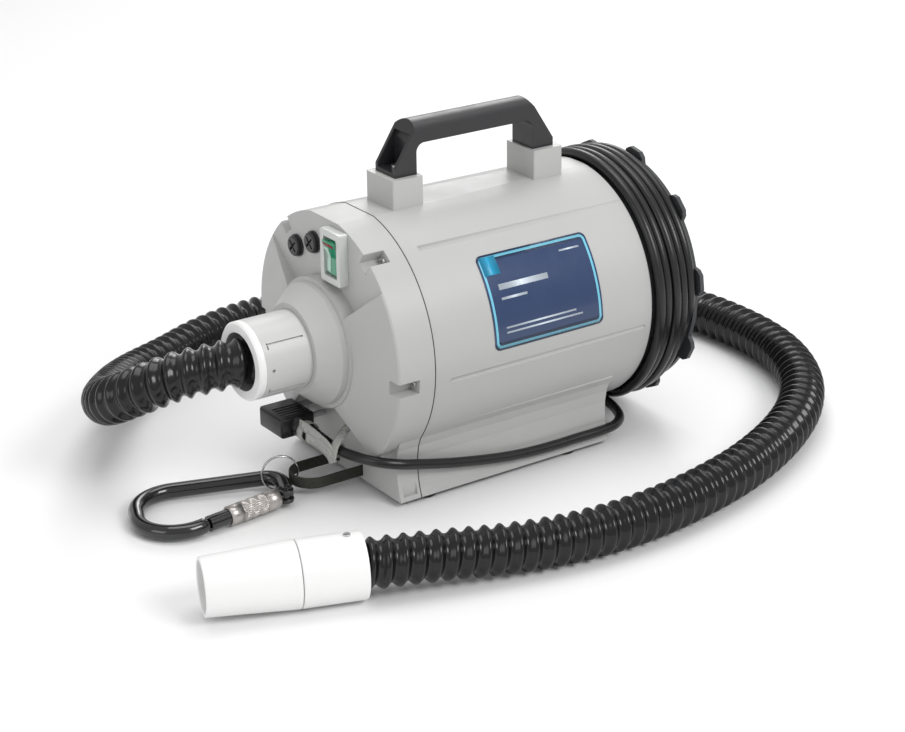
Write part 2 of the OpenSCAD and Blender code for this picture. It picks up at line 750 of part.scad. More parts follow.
module rear_screws() {
    color("silver") in_frame() at_cover_screws(drum_end + flange_t + eps)
        rotate([180, 0, 0]) screw(3.3, 2, 1.6, 26);
}

module filter_grid() {
    color("#3b3c3f") in_frame() {
        ring_y(231, 234, 80, 76);
        for (a = [0:45:135]) along(234) rotate([0, 0, a]) translate([-77, -1.2, 0]) cube([154, 2.4, 3]);
        ring_y(231, 234, 42, 39.5);
    }
}

module filter_foam() {
    color("#55575b") in_frame() disc_y(234.2, drum_end - 0.3, 79.5);
}

module rear_bulkhead() {
    color("#3b3c3f") in_frame() difference() {
        union() {
            disc_y(197.1, 200, drum_r - 0.5);
            at_cover_screws(drum_end - 0.2) cylinder(h = drum_end - 200, r = 4.4, $fn = 32);
        }
        disc_y(190, 204, eye_r + 4);
        at_cover_screws(drum_end + 1) cylinder(h = 30, r = 1.65, $fn = 32);
    }
}

module front_bulkhead() {
    color("#3b3c3f") in_frame() difference() {
        disc_y(73, 76.9, barrel_r - wall - 1);
        disc_y(70, 80, 52.2);
        for (k = [0:9]) along(80) rotate([0, 0, 36 * k]) translate([73, 0, 0]) cylinder(h = 12, r = 10);
        translate([-100, 60, axis_z + flat_rise - wall - 0.5]) cube([200, 30, 20]);
    }
}

module motor_mounts() {
    color("black") in_frame() {
        ring_y(70, 80, 52, 45.8);
        ring_y(fan_to + 0.1, 197, 54, 42);
    }
}

module foam_liner() {
    color("#6a6a6a") in_frame() difference() {
        ring_y(80.2, 193.8, barrel_r - barrel_taper - wall - 0.4, 88);
        translate([-100, 60, axis_z + flat_rise - wall - 0.4]) cube([200, 150, 20]);
    }
}

// ---------------------------------------------------------------- motor and fans

module motor_frame() {
    color("#9aa0a6") in_frame() difference() {
        union() {
            ring_y(motor_front, motor_rear, 45.5, 42.4);
            disc_y(motor_front, motor_front + 3, 44);
            disc_y(motor_front, motor_front + 10, 15);
        }
        disc_y(motor_front - 1, motor_front + 11, bearing_r + 0.02);
        for (k = [0:5]) along(motor_front + 5) rotate([0, 0, 60 * k + 30]) translate([29, 0, 0])
            cylinder(h = 10, r = 9, $fn = 48);
        for (k = [0:7]) along(138) rotate([0, 0, 45 * k + 22.5]) translate([44, 0, 23])
            rotate([0, 90, 0]) cylinder(h = 12, r = 8, center = true, $fn = 48);
        for (s = [0, 180]) along(0.5 * (commutator_from + commutator_to)) rotate([0, 0, s])
            translate([44, 0, 0]) cube([14, 12.4, 14.4], center = true);
    }
}

module stator_core() {
    color("#7d7f83") in_frame() ring_y(core_from, core_to, 42.2, 22.8);
}

module field_coils() {
    color("#b8672b") in_frame() {
        ring_y(core_from - 8, core_from - 0.2, 38, 25);
        ring_y(core_to + 0.2, core_to + 8, 38, 25);
    }
}

module armature() {
    color("#b8672b") in_frame() difference() {
        union() {
            disc_y(core_from, core_to, 22.2);
            disc_y(core_from - 7, core_from + eps, 17);
            disc_y(core_to - eps, core_to + 7, 17);
            disc_y(commutator_from, commutator_to, 12);
            disc_y(commutator_to - eps, core_from - 7 + eps, 9);
        }
        disc_y(0, 200, shaft_r);
        for (k = [0:15]) along(core_to + 1) rotate([0, 0, 22.5 * k]) translate([22, 0, 0])
            cylinder(h = core_to - core_from + 2, r = 1.2, $fn = 16);
    }
}

module motor_shaft() {
    color("silver") in_frame() {
        disc_y(motor_front + 1, fan_to - 1.2, shaft_r);
        disc_y(impeller_places[1] + impeller_w - 1.4, fan_to - 2, 7);
    }
}

module bearings() {
    color("lightgray") in_frame() for (y = [motor_front + 2.5, motor_rear + 3])
        ring_y(y, y + bearing_w, bearing_r, shaft_r + run_gap);
}

module brush_holders() {
    y = 0.5 * (commutator_from + commutator_to);
    color("goldenrod") in_frame() for (s = [-1, 1]) difference() {
        translate([s * 28, y, axis_z]) cube([30, 12, 10], center = true);
        translate([s * 28, y, axis_z]) cube([40, 8.2, 6.2], center = true);
    }
}

module carbon_brushes() {
    y = 0.5 * (commutator_from + commutator_to);
    color("#303030") in_frame() for (s = [-1, 1]) difference() {
        translate([s * 20, y, axis_z]) cube([18, 8, 6], center = true);
        disc_y(y - 10, y + 10, 12.1);
    }
}

module fan_case() {
    color("#b9bdc2") in_frame() difference() {
        disc_y(fan_from, fan_to, 64);
        disc_y(fan_from - 1, fan_to - 1.6, 62.4);
        disc_y(fan_from, fan_to + 1, eye_r + 2);
    }
}

module fan_base() {
    color("#9aa0a6") in_frame() difference() {
        union() {
            disc_y(fan_from, fan_from + 5, 62.2);
            disc_y(motor_rear + 0.1, fan_from + 5, 42);
        }
        disc_y(motor_rear - 1, fan_from + 6, bearing_r + 0.02);
        for (k = [0:7]) along(fan_from + 6) rotate([0, 0, 45 * k]) translate([31, 0, 0])
            cylinder(h = 20, r = 6.5, $fn = 48);
    }
}

module stage_plate() {
    color("#b9bdc2") in_frame() difference() {
        disc_y(170, 175.8, 62.2);
        disc_y(169, 177, eye_r - 3);
        for (k = [0:11]) along(172.6) rotate([0, 0, 30 * k]) translate([24, 0, 0])
            cube([30, 3, 4]);
    }
}

// Each fan wheel is a hub and a back plate, straight vanes and a front shroud with an eye.
module impellers() {
    color("#c9ccd0") in_frame() for (y = impeller_places) difference() {
        union() {
            disc_y(y, y + 1, impeller_r);
            disc_y(y, y + impeller_w - 1.6, 11);
            ring_y(y + impeller_w - 1, y + impeller_w, impeller_r, eye_r - 1);
            for (k = [0:8]) along(y + impeller_w - eps) rotate([0, 0, 40 * k]) translate([19, 0, 0])
                rotate([0, 0, -28]) translate([0, -0.6, 0]) cube([34, 1.2, impeller_w - 2 * eps]);
        }
        disc_y(y - 1, y + impeller_w + 1, shaft_r);
    }
}

module terminal_block() {
    color("ivory") in_frame() {
        translate([-12, 6, axis_z - 76]) cube([24, 14, 12]);
        translate([22, 13, axis_z - 76]) cylinder(h = 18, r = 7, $fn = 48);
    }
}

// A lead from the terminal block up to the switch, behind the panel.
switch_lead = [
    [0, 11, 52.2], [0.9, 10, 64], [3.1, 7.5, 80], [6.2, 4, 98], [9.7, 0, 118], [12.4, -3, 138],
    [14.1, -5, 156], [15, -6, 177]
];
module inner_leads() {
    color("#1a1a1c") in_frame() swept_tube(smooth(switch_lead, 2), 2.4, 8);
}

// ---------------------------------------------------------------- mains lead

module cord_winding() {
    color("#161617") in_frame() ring_y(winding_from, winding_to, drum_r + 0.3 + cord_d, drum_r + 0.3);
}

module cord_run() {
    color("#161617") in_frame() swept_tube(smooth(cord_route, 2), cord_d / 2, 8);
}

// Local +Z runs from the plug's rear face along its boot to the lead.
plug_rear = plug_at + [plug_size[0] / 2, 0, 0];
boot_len = norm(boot_end - plug_rear);
boot_r = [7.2, 5];
module along_boot() {
    d = boot_end - plug_rear;
    translate(plug_rear) rotate([0, acos(d[2] / boot_len), atan2(d[1], d[0])]) children();
}

module mains_plug() {
    color("#141415") in_frame() difference() {
        union() {
            translate(plug_at) rotate([0, 90, 0]) translate([0, 0, -plug_size[0] / 2])
                linear_extrude(plug_size[0]) round_rect(plug_size[2], plug_size[1], 4);
            along_boot() translate([0, 0, -2])
                cylinder(h = boot_len + 2, r1 = boot_r[0], r2 = boot_r[1], $fn = 48);
        }
        pin_place(-pin_root) linear_extrude(pin_root + 1) pin_outline(0.02);
        along_boot() translate([0, 0, boot_len - 6]) cylinder(h = 8, r = cord_d / 2 + 0.2, $fn = 32);
    }
}

// Two flat blades and a round earth pin. They leave the side of the plug that faces the cap.
pin_root = 8;
pin_len = 16;
blade = [6.4, 1.6];
blade_gap = 12.7;
earth_gap = 11.9;
earth_r = 2.4;
module pin_place(from) {
    translate(plug_at + [0, plug_size[1] / 2 + from, 0]) rotate([-90, 0, 0]) children();
}
module pin_outline(grow) {
    for (s = [-1, 1]) translate([-earth_gap / 2, s * blade_gap / 2])
        square([blade[0] + 2 * grow, blade[1] + 2 * grow], center = true);
    translate([earth_gap / 2, 0]) circle(earth_r + grow, $fn = 32);
}

module plug_pins() {
    color("silver") in_frame() pin_place(eps - pin_root) linear_extrude(pin_root + pin_len) pin_outline(0);
}

// A clear tie: a band round the lead, one round the boot, and a tail up to the cap.
module cord_tie() {
    color("white") in_frame() {
        translate(tie_at) rotate([0, 90, 0]) tie_band(cord_d / 2 + 0.8, 6);
        along_boot() translate([0, 0, 11]) tie_band(boot_r[0] - 0.2, 5);
        translate([13, -52.9, 46.2]) rotate([0, 9, 6]) cube([31, 1.4, 4.4], center = true);
        translate([26, -33, 47.4]) rotate([-22, -20, 24]) cube([5, 27, 1.4], center = true);
    }
}

module tie_band(r, w) {
    difference() {
        cylinder(h = w, r = r + 1.3, center = true, $fn = 48);
        cylinder(h = w + 2, r = r, center = true, $fn = 48);
    }
}

// ---------------------------------------------------------------- strap, ring and carabiner

module strap_outline(r) {
    translate(strap_mid) circle(r, $fn = 96);
    translate([strap_mid[0] - r, strap_mid[1]]) square([2 * r, strap_back + (r - strap_r) - strap_mid[1]]);
}

module strap_loop() {
    color("#4a4a44") in_frame() translate([0, 0, strap_z[0]]) linear_extrude(strap_z[1] - strap_z[0])
        difference() {
            strap_outline(strap_r + strap_t / 2);
            strap_outline(strap_r - strap_t / 2);
        }
}

module strap_clamp() {
    y = strap_back + strap_t / 2 + 0.05;
    color("silver") in_frame() {
        translate([strap_mid[0] - 12, y, strap_z[0] + 0.4]) cube([24, 1.6, 8.2]);
        for (s = [-1, 1]) translate([strap_mid[0] + s * 8, y + 1.6, 12]) rotate([-90, 0, 0])
            cylinder(h = 1.6, r = 2.6, $fn = 32);
    }
}

module split_ring() {
    color("silver") in_frame() translate(ring_at) rotate([0, 0, 90 + ring_angle]) rotate([90, 0, 0])
        rotate_extrude($fn = 96) translate([ring_r, 0]) {
            translate([0, 0.55]) circle(ring_wire_r - 0.5, $fn = 24);
            translate([0, -0.55]) circle(ring_wire_r - 0.5, $fn = 24);
            square([1.1, 1.1], center = true);
        }
}

// The plane of the carabiner, tipped slightly because the ring lifts its small end.
module on_carabiner() {
    pivot_u = corner_uv[0] + corner_r;
    in_frame() translate(carabiner_at) rotate([0, 0, carabiner_turn]) mirror([0, 1, 0])
        translate([pivot_u, 0, 0]) rotate([0, -carabiner_tip, 0]) translate([-pivot_u, 0, 0]) children();
}

// Local +Z runs from point a towards point b of the carabiner's plane.
module from_to(a, b) {
    translate([a[0], a[1], 0]) rotate([0, 0, atan2(b[1] - a[1], b[0] - a[0])]) rotate([0, 90, 0])
        children();
}

gate_dir = unit(nose_uv - hinge_uv);
gate_turn = atan2(gate_dir[1], gate_dir[0]);
gate_len = norm(nose_uv - hinge_uv) - neck_len;
collar_from = sleeve_at + sleeve_len - 1.5;

// The frame's centreline in its own plane, from the hinge round to the nose.
function arc_line(c, r, from, to, n) =
    [for (i = [0:n]) concat(on_circle(c, r, from + (to - from) * i / n), [0])];
carabiner_line = concat(
    arc_line(near_c, corner_r, ear_angle, 0, 3),
    arc_line(corner_uv, corner_r, 0, -90, 12),
    arc_line(wide_uv, wide_r, 270, 180, 12),
    arc_line(far_c, wide_top_r, 180, nose_angle, 16));

module carabiner() {
    color("#121213") on_carabiner() difference() {
        union() {
            swept_tube(carabiner_line, rod_r, 24);
            translate([hinge_uv[0], hinge_uv[1], -rod_r + 0.6])
                cylinder(h = rod_d - 1.2, r = ear_r, $fn = 48);
            from_to(nose_uv - neck_len * gate_dir, nose_uv) cylinder(h = neck_len + 5, r = neck_r, $fn = 48);
        }
        translate([hinge_uv[0], hinge_uv[1], -2]) rotate([0, 0, gate_turn])
            translate([-6.8, -12, 0]) cube([30, 24, 4]);
        translate([hinge_uv[0], hinge_uv[1], -10]) cylinder(h = 20, r = 1 + run_gap, $fn = 24);
    }
}

module carabiner_gate() {
    eye_t = 3.5;
    color("#1a1a1b") on_carabiner() from_to(hinge_uv, nose_uv) {
        rotate([0, 90, 0]) cylinder(h = eye_t, r = 4, center = true, $fn = 32);
        translate([-eye_t / 2, -2.4, 0]) cube([eye_t, 4.8, 9]);
        translate([0, 0, 8]) cylinder(h = collar_from - 8 + eps, r = gate_r, $fn = 48);
        translate([0, 0, collar_from]) cylinder(h = gate_len - 0.5 - collar_from, r = collar_r, $fn = 48);
        rotate([0, 90, 0]) cylinder(h = rod_d - 1.8, r = 1, center = true, $fn = 24);
    }
}

module gate_sleeve() {
    color("#a8a29b") on_carabiner() from_to(hinge_uv, nose_uv) translate([0, 0, sleeve_at]) difference() {
        union() {
            cylinder(h = 1, r1 = sleeve_r - 1, r2 = sleeve_r, $fn = 64);
            translate([0, 0, 1]) cylinder(h = sleeve_len - 2, r = sleeve_r, $fn = 64);
            translate([0, 0, sleeve_len - 1]) cylinder(h = 1, r1 = sleeve_r, r2 = sleeve_r - 1, $fn = 64);
        }
        translate([0, 0, -1]) cylinder(h = sleeve_len + 2, r = gate_r + run_gap, $fn = 48);
        // The wide end slides over the gate's collar.
        translate([0, 0, sleeve_len - sleeve_travel - 2])
            cylinder(h = sleeve_travel + 3, r = collar_r + run_gap, $fn = 48);
    }
}

barrel_shell();
front_cap();
base_plate();
base_screws();
feet();
foot_screws();
housing_screws();
handle();
handle_screws();
label();
switch_bezel();
switch_body();
rocker();
fuse_holders();
fuse_cap_left();
fuse_cap_right();
fuse_left();
fuse_right();
port_tube();
hose_cuff();
hose();
nozzle_cuff();
nozzle_screw();
nozzle_tip();
rear_cover();
rear_screws();
filter_foam();
filter_grid();
rear_bulkhead();
front_bulkhead();
motor_mounts();
foam_liner();
motor_frame();
stator_core();
field_coils();
armature();
motor_shaft();
bearings();
brush_holders();
carbon_brushes();
fan_case();
fan_base();
stage_plate();
impellers();
terminal_block();
inner_leads();
cord_grommet();
cord_winding();
cord_run();
mains_plug();
plug_pins();
cord_tie();
strap_loop();
strap_clamp();
split_ring();
carabiner();
carabiner_gate();
gate_sleeve();
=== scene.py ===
"""Looks for the portable canister air dryer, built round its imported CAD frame.

Every length is in metres, along the CAD's own axes.
"""
import json
import math

import bmesh
import bpy
import numpy as np
from mathutils import Matrix, Vector


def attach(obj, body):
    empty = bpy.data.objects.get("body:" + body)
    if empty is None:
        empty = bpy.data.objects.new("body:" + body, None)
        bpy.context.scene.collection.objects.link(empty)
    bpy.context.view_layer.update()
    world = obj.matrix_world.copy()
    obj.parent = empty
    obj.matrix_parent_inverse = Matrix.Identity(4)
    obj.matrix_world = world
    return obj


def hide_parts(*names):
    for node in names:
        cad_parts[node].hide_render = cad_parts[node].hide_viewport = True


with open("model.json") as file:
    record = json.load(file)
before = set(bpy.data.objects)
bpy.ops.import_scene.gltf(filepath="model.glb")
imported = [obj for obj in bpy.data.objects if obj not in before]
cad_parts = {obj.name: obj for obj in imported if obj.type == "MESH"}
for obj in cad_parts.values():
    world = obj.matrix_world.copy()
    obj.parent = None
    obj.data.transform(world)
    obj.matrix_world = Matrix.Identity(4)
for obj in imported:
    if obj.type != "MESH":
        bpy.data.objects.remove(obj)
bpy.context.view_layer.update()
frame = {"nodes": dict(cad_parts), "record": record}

# The seam between the cap and the barrel along Y. Points given to at() are measured from it.
SEAM = -0.02667
AXIS_Z = 0.116
# The barrel narrows by its taper from the seam to its rear end.
BARREL_R = 0.100
BARREL_TAPER = 0.0014
BARREL_LEN = 0.208

HOSE_D = 0.038
HOSE_PITCH = 0.0119
CORD_D = 0.008


def at(x, y, z):
    """A point given from the seam, in the frame's coordinates."""
    return Vector((x, y + SEAM, z))


def add_object(name, data):
    obj = bpy.data.objects.new(name, data)
    bpy.context.scene.collection.objects.link(obj)
    return obj


def aim(obj, place, target):
    """Puts a camera or a lamp at a place and turns it to a target."""
    obj.location = place
    obj.rotation_euler = (Vector(target) - Vector(place)).to_track_quat("-Z", "Y").to_euler()


# ------------------------------------------------------------------ camera and light

def look_from(place, target, lens, shift_x):
    data = bpy.data.cameras.new("camera")
    data.lens = lens
    data.sensor_width = 36
    data.sensor_fit = "HORIZONTAL"
    data.shift_x = shift_x
    camera = add_object("camera", data)
    aim(camera, place, target)
    bpy.context.scene.camera = camera


def area_light(name, place, target, size, power):
    data = bpy.data.lights.new(name, "AREA")
    data.shape = "RECTANGLE"
    data.size = size[0]
    data.size_y = size[1]
    data.energy = power
    aim(add_object(name, data), place, target)


CAMERA_PLACE = at(1.378, -0.8573, 0.7624)
CAMERA_TARGET = at(0.04348, 0.11431, 0.07272)
look_from(CAMERA_PLACE, CAMERA_TARGET, lens=90, shift_x=-0.07)
area_light("key", (1.9, 0.5, 1.7), (0, 0.05, 0.1), (1.1, 0.9), 27)
area_light("fill", (0.4, -2.1, 1.0), (0, 0, 0.1), (1.2, 0.9), 6)
area_light("top", (-0.3, 0.3, 2.3), (0, 0.05, 0), (1.6, 1.6), 20)
area_light("rim", (-1.6, 1.3, 1.3), (0, 0, 0.15), (0.7, 1.2), 10)

world = bpy.data.worlds.new("studio")
world.use_nodes = True
background = world.node_tree.nodes["Background"]
background.inputs["Color"].default_value = (1, 1, 1, 1)
background.inputs["Strength"].default_value = 0.62
bpy.context.scene.world = world
bpy.context.scene.view_settings.view_transform = "Standard"


# ------------------------------------------------------------------ materials

class Shader:
    """A Principled material built from small steps. Textures use object coordinates, in metres."""

    def __init__(self, name, colour, rough, metal=0.0, coat=0.0, specular=0.5):
        self.mat = bpy.data.materials.new(name)
        self.mat.use_nodes = True
        self.nodes = self.mat.node_tree.nodes
        self.links = self.mat.node_tree.links
        self.main = self.nodes["Principled BSDF"]
        self.colour = (*colour, 1)
        self.set("Base Color", self.colour)
        self.set("Roughness", rough)
        self.set("Metallic", metal)
        self.set("Coat Weight", coat)
        self.set("Specular IOR Level", specular)
        self.rough = rough
        self.where = self.nodes.new("ShaderNodeTexCoord").outputs["Object"]
        self.normal = None
        self.mat.diffuse_color = self.colour

    def set(self, name, value):
        self.main.inputs[name].default_value = value

    def noise(self, scale, detail=3.0, stretch=None):
        node = self.nodes.new("ShaderNodeTexNoise")
        node.inputs["Scale"].default_value = scale
        node.inputs["Detail"].default_value = detail
        self.links.new(self.stretched(stretch), node.inputs["Vector"])
        return node.outputs["Fac"]

    def stretched(self, stretch):
        if stretch is None:
            return self.where
        node = self.nodes.new("ShaderNodeMapping")
        node.inputs["Scale"].default_value = stretch
        self.links.new(self.where, node.inputs["Vector"])
        return node.outputs["Vector"]

    def cells(self, scale):
        node = self.nodes.new("ShaderNodeTexVoronoi")
        node.inputs["Scale"].default_value = scale
        self.links.new(self.where, node.inputs["Vector"])
        return node.outputs["Distance"]

    def wave(self, scale, direction, distortion=0.0):
        node = self.nodes.new("ShaderNodeTexWave")
        node.bands_direction = direction
        node.inputs["Scale"].default_value = scale
        node.inputs["Distortion"].default_value = distortion
        self.links.new(self.where, node.inputs["Vector"])
        return node.outputs["Fac"]

    def ranged(self, value, low, high):
        """The middle part of a noise, stretched to run from low to high."""
        node = self.nodes.new("ShaderNodeMapRange")
        node.inputs["From Min"].default_value = 0.3
        node.inputs["From Max"].default_value = 0.7
        node.inputs["To Min"].default_value = low
        node.inputs["To Max"].default_value = high
        self.links.new(value, node.inputs["Value"])
        return node.outputs["Result"]

    def mottle(self, scale, amount, detail=4.0, stretch=None):
        """The colour varies by a fraction of itself."""
        tone = self.ranged(self.noise(scale, detail, stretch), 1 - amount, 1 + amount)
        node = self.nodes.new("ShaderNodeMix")
        node.data_type = "RGBA"
        node.blend_type = "MULTIPLY"
        node.inputs["Factor"].default_value = 1
        node.inputs["A"].default_value = self.colour
        self.links.new(tone, node.inputs["B"])
        self.links.new(node.outputs["Result"], self.main.inputs["Base Color"])
        return self

    def wear(self, scale, amount):
        """The roughness varies by an amount to each side."""
        rough = self.ranged(self.noise(scale, 5), self.rough - amount, self.rough + amount)
        self.links.new(rough, self.main.inputs["Roughness"])
        return self

    def rounded(self, radius):
        """Edges catch the light as if rounded by this radius."""
        node = self.nodes.new("ShaderNodeBevel")
        node.samples = 4
        node.inputs["Radius"].default_value = radius
        self.normal = node.outputs["Normal"]
        self.links.new(self.normal, self.main.inputs["Normal"])
        return self

    def bump(self, height, depth, strength=1.0):
        """Relief of the given depth, on top of any relief set before."""
        node = self.nodes.new("ShaderNodeBump")
        node.inputs["Distance"].default_value = depth
        node.inputs["Strength"].default_value = strength
        self.links.new(height, node.inputs["Height"])
        if self.normal is not None:
            self.links.new(self.normal, node.inputs["Normal"])
        self.normal = node.outputs["Normal"]
        self.links.new(self.normal, self.main.inputs["Normal"])
        return self


def moulded(name, colour, rough, grain=2600, depth=2e-5, edge=0.0007, coat=0.0, tone=0.02):
    """An injection-moulded plastic: a fine grain, slight unevenness, and softened edges."""
    s = Shader(name, colour, rough, coat=coat)
    s.rounded(edge)
    s.bump(s.noise(grain, 2), depth, 0.6)
    s.bump(s.noise(22, 2), 1.2e-4, 0.25)
    return s.mottle(14, tone).wear(60, 0.05)


def metal(name, colour, rough, streak=None, edge=0.0003, depth=6e-6):
    """Bare metal with fine marks, which streak stretches in one direction."""
    s = Shader(name, colour, rough, metal=1.0)
    s.rounded(edge)
    s.bump(s.noise(900, 4, streak), depth, 0.7)
    return s.mottle(160, 0.05, stretch=streak).wear(240, 0.07)


def build_materials():
    """One material for each material slot of the record."""
    m = {}
    m["housing"] = moulded("housing_grey", (0.45, 0.452, 0.445), 0.38, grain=3200, tone=0.012)
    m["port_grey"] = moulded("port_grey", (0.53, 0.53, 0.525), 0.36, edge=0.0005)
    m["dark_plastic"] = moulded("dark_plastic", (0.045, 0.047, 0.05), 0.45)
    m["black_plastic"] = moulded("black_plastic", (0.016, 0.016, 0.018), 0.36, grain=2200)
    m["white_plastic"] = moulded("white_plastic", (0.83, 0.83, 0.825), 0.33, depth=1e-5, tone=0.008)
    m["clear_white"] = moulded("clear_white", (0.78, 0.80, 0.78), 0.18, depth=6e-6, coat=0.5)
    m["clear_white"].set("Transmission Weight", 0.35)
    m["green_plastic"] = moulded("green_plastic", (0.01, 0.30, 0.15), 0.2, depth=6e-6, coat=0.6)
    m["green_plastic"].set("Transmission Weight", 0.15)
    m["label"] = moulded("label_navy", (0.012, 0.035, 0.11), 0.3, depth=5e-6, edge=0.0002, coat=0.35)
    m["rubber"] = moulded("rubber_black", (0.014, 0.014, 0.015), 0.6, grain=1800, depth=4e-5)
    m["hose_black"] = moulded("hose_black", (0.005, 0.0048, 0.005), 0.22, grain=900, edge=0.0002, coat=0.25)
    m["hose_black"].set("Specular IOR Level", 0.3)
    m["cord_black"] = moulded("cord_black", (0.007, 0.007, 0.0075), 0.3, depth=3e-5, edge=0.0003)
    m["anodised_black"] = moulded("anodised_black", (0.006, 0.006, 0.007), 0.16, depth=4e-6, coat=0.6)
    m["steel"] = metal("steel_bright", (0.62, 0.62, 0.63), 0.24)
    m["knurled_metal"] = metal("knurled_alloy", (0.50, 0.47, 0.45), 0.36)
    m["cast_aluminium"] = metal("cast_aluminium", (0.48, 0.49, 0.51), 0.5, depth=4e-5)
    m["aluminium"] = metal("spun_aluminium", (0.62, 0.63, 0.65), 0.3, streak=(1, 12, 1))
    m["brass"] = metal("brass", (0.66, 0.48, 0.2), 0.28)
    m["copper"] = metal("copper_winding", (0.55, 0.24, 0.1), 0.35, streak=(1, 8, 1), depth=6e-5)
    laminations = metal("laminations", (0.2, 0.2, 0.21), 0.5)
    laminations.bump(laminations.wave(320, "Y"), 2e-4, 0.6)
    m["lamination"] = laminations
    m["carbon"] = moulded("carbon", (0.03, 0.03, 0.03), 0.55)
    foam = Shader("foam_grey", (0.09, 0.09, 0.095), 0.9)
    foam.bump(foam.cells(520), 6e-4).mottle(300, 0.3)
    m["foam"] = foam
    web = Shader("webbing_dark", (0.035, 0.035, 0.028), 0.85)
    web.bump(web.wave(420, "Z", 1.5), 2e-4, 0.8)
    web.bump(web.noise(1400, 3), 1.5e-4, 0.6).mottle(700, 0.35)
    m["webbing"] = web
    return {slot: s.mat for slot, s in m.items()}


MATERIALS = build_materials()


def printed(name, colour):
    """A glossy printed ink."""
    return moulded(name, colour, 0.3, depth=4e-6, edge=0.0001, coat=0.3).mat


LIGHT_BLUE = printed("print_light_blue", (0.16, 0.52, 0.68))
CYAN = printed("print_cyan", (0.0, 0.30, 0.52))
PRINT_WHITE = printed("print_white", (0.62, 0.70, 0.78))
# The pale mint is painted light: it stands for the lit part of the green rocker's front.
PAINTED_LIGHT_MINT = moulded("rocker_painted_light", (0.45, 0.66, 0.56), 0.22, depth=5e-6, edge=0.0003, coat=0.6).mat
RED = moulded("rocker_mark", (0.24, 0.02, 0.03), 0.3, depth=5e-6, edge=0.0002).mat
FLOOR = Shader("floor_pale", (0.86, 0.86, 0.86), 0.6)
FLOOR.bump(FLOOR.noise(90, 3), 1e-4, 0.2).mottle(3, 0.006)

SLOT_OF = {part["node"]: part["material_slot"] for part in frame["record"]["subparts"]}
BODY_OF = {node: body for body, nodes in frame["record"]["behaviour"]["bodies"].items() for node in nodes}
for node, obj in frame["nodes"].items():
    obj.data.materials.clear()
    obj.data.materials.append(MATERIALS[SLOT_OF[node]])


# ------------------------------------------------------------------ geometry helpers

def unit(v):
    return v / np.linalg.norm(v)


def distances(points):
    """How far along the path each of its points lies."""
    return np.concatenate([[0], np.cumsum(np.linalg.norm(np.diff(points, axis=0), axis=1))])


def smooth_path(points, step):
    """A curve through the points, resampled at an even spacing."""
    p = np.array([list(q) for q in points], float)
    p = np.vstack([2 * p[0] - p[1], p, 2 * p[-1] - p[-2]])
    dense = []
    for i in range(1, len(p) - 2):
        a, b, c, d = p[i - 1], p[i], p[i + 1], p[i + 2]
        for t in np.linspace(0, 1, 24, endpoint=False):
            dense.append(0.5 * (2 * b + (c - a) * t + (2 * a - 5 * b + 4 * c - d) * t ** 2
                                + (3 * b - a - 3 * c + d) * t ** 3))
    dense.append(p[-2])
    return even_path(dense, step)


def even_path(points, step):
    """The same path, with points at an even spacing."""
    p = np.array([list(q) for q in points], float)
    far = distances(p)
    count = max(int(round(far[-1] / step)), 2)
    marks = np.linspace(0, far[-1], count + 1)
    return np.column_stack([np.interp(marks, far, p[:, k]) for k in range(3)])


def frames_along(p, up=(0, 0, 1)):
    """At each point: the heading and two directions across it, without twist."""
    heads = np.gradient(p, axis=0)
    heads /= np.linalg.norm(heads, axis=1)[:, None]
    side = unit(np.cross(heads[0], np.array(up, float) + 1e-6))
    sides, ups = [], []
    for h in heads:
        side = unit(side - np.dot(side, h) * h)
        sides.append(side)
        ups.append(np.cross(side, h))
    return heads, np.array(sides), np.array(ups)


def finished(name, mesh, material, smooth=True):
    """The object that shows a mesh in one material."""
    mesh.materials.append(material)
    mesh.polygons.foreach_set("use_smooth", [smooth] * len(mesh.polygons))
    return add_object(name, mesh)


def new_mesh(name, verts, faces, material, smooth=True):
    """A mesh piece in the frame's coordinates, with its faces turned outwards."""
    mesh = bpy.data.meshes.new(name)
    mesh.from_pydata([tuple(v) for v in verts], [], [tuple(f) for f in faces])
    mesh.update()
    bm = bmesh.new()
    bm.from_mesh(mesh)
    bmesh.ops.recalc_face_normals(bm, faces=bm.faces)
    bm.to_mesh(mesh)
    bm.free()
    return finished(name, mesh, material, smooth)


def stand_for(obj, *nodes):
    """The piece is shown in place of CAD nodes, on their body."""
    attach(obj, BODY_OF[nodes[0]])
    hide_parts(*nodes)
    return obj


def add_to(obj, node):
    """The piece is shown beside a CAD node, on its body."""
    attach(obj, BODY_OF[node])
    return obj


def grid_faces(rows, cols, closed_rows=False, closed_cols=True):
    """Four-sided faces between rows of points, joined up to a loop where closed."""
    faces = []
    for i in range(rows if closed_rows else rows - 1):
        for k in range(cols if closed_cols else cols - 1):
            a, b = i * cols, ((i + 1) % rows) * cols
            j = (k + 1) % cols
            faces.append((a + k, a + j, b + j, b + k))
    return faces


def end_faces(rows, cols):
    """The two faces that close the first and the last row of points."""
    return [tuple(range(cols)), tuple((rows - 1) * cols + k for k in range(cols))]


def tube(name, path, radius, sides, material, up=(0, 0, 1)):
    """A tube along a path. radius is a number, or a function of distance and angle."""
    _, side, up_dir = frames_along(path, up)
    far = distances(path)
    turn = np.linspace(0, 2 * math.pi, sides, endpoint=False)
    verts = []
    for i, c in enumerate(path):
        r = radius(far[i], turn) if callable(radius) else np.full(sides, radius)
        verts.extend(c + (r * np.cos(turn))[:, None] * side[i] + (r * np.sin(turn))[:, None] * up_dir[i])
    return new_mesh(name, verts, grid_faces(len(path), sides) + end_faces(len(path), sides), material)


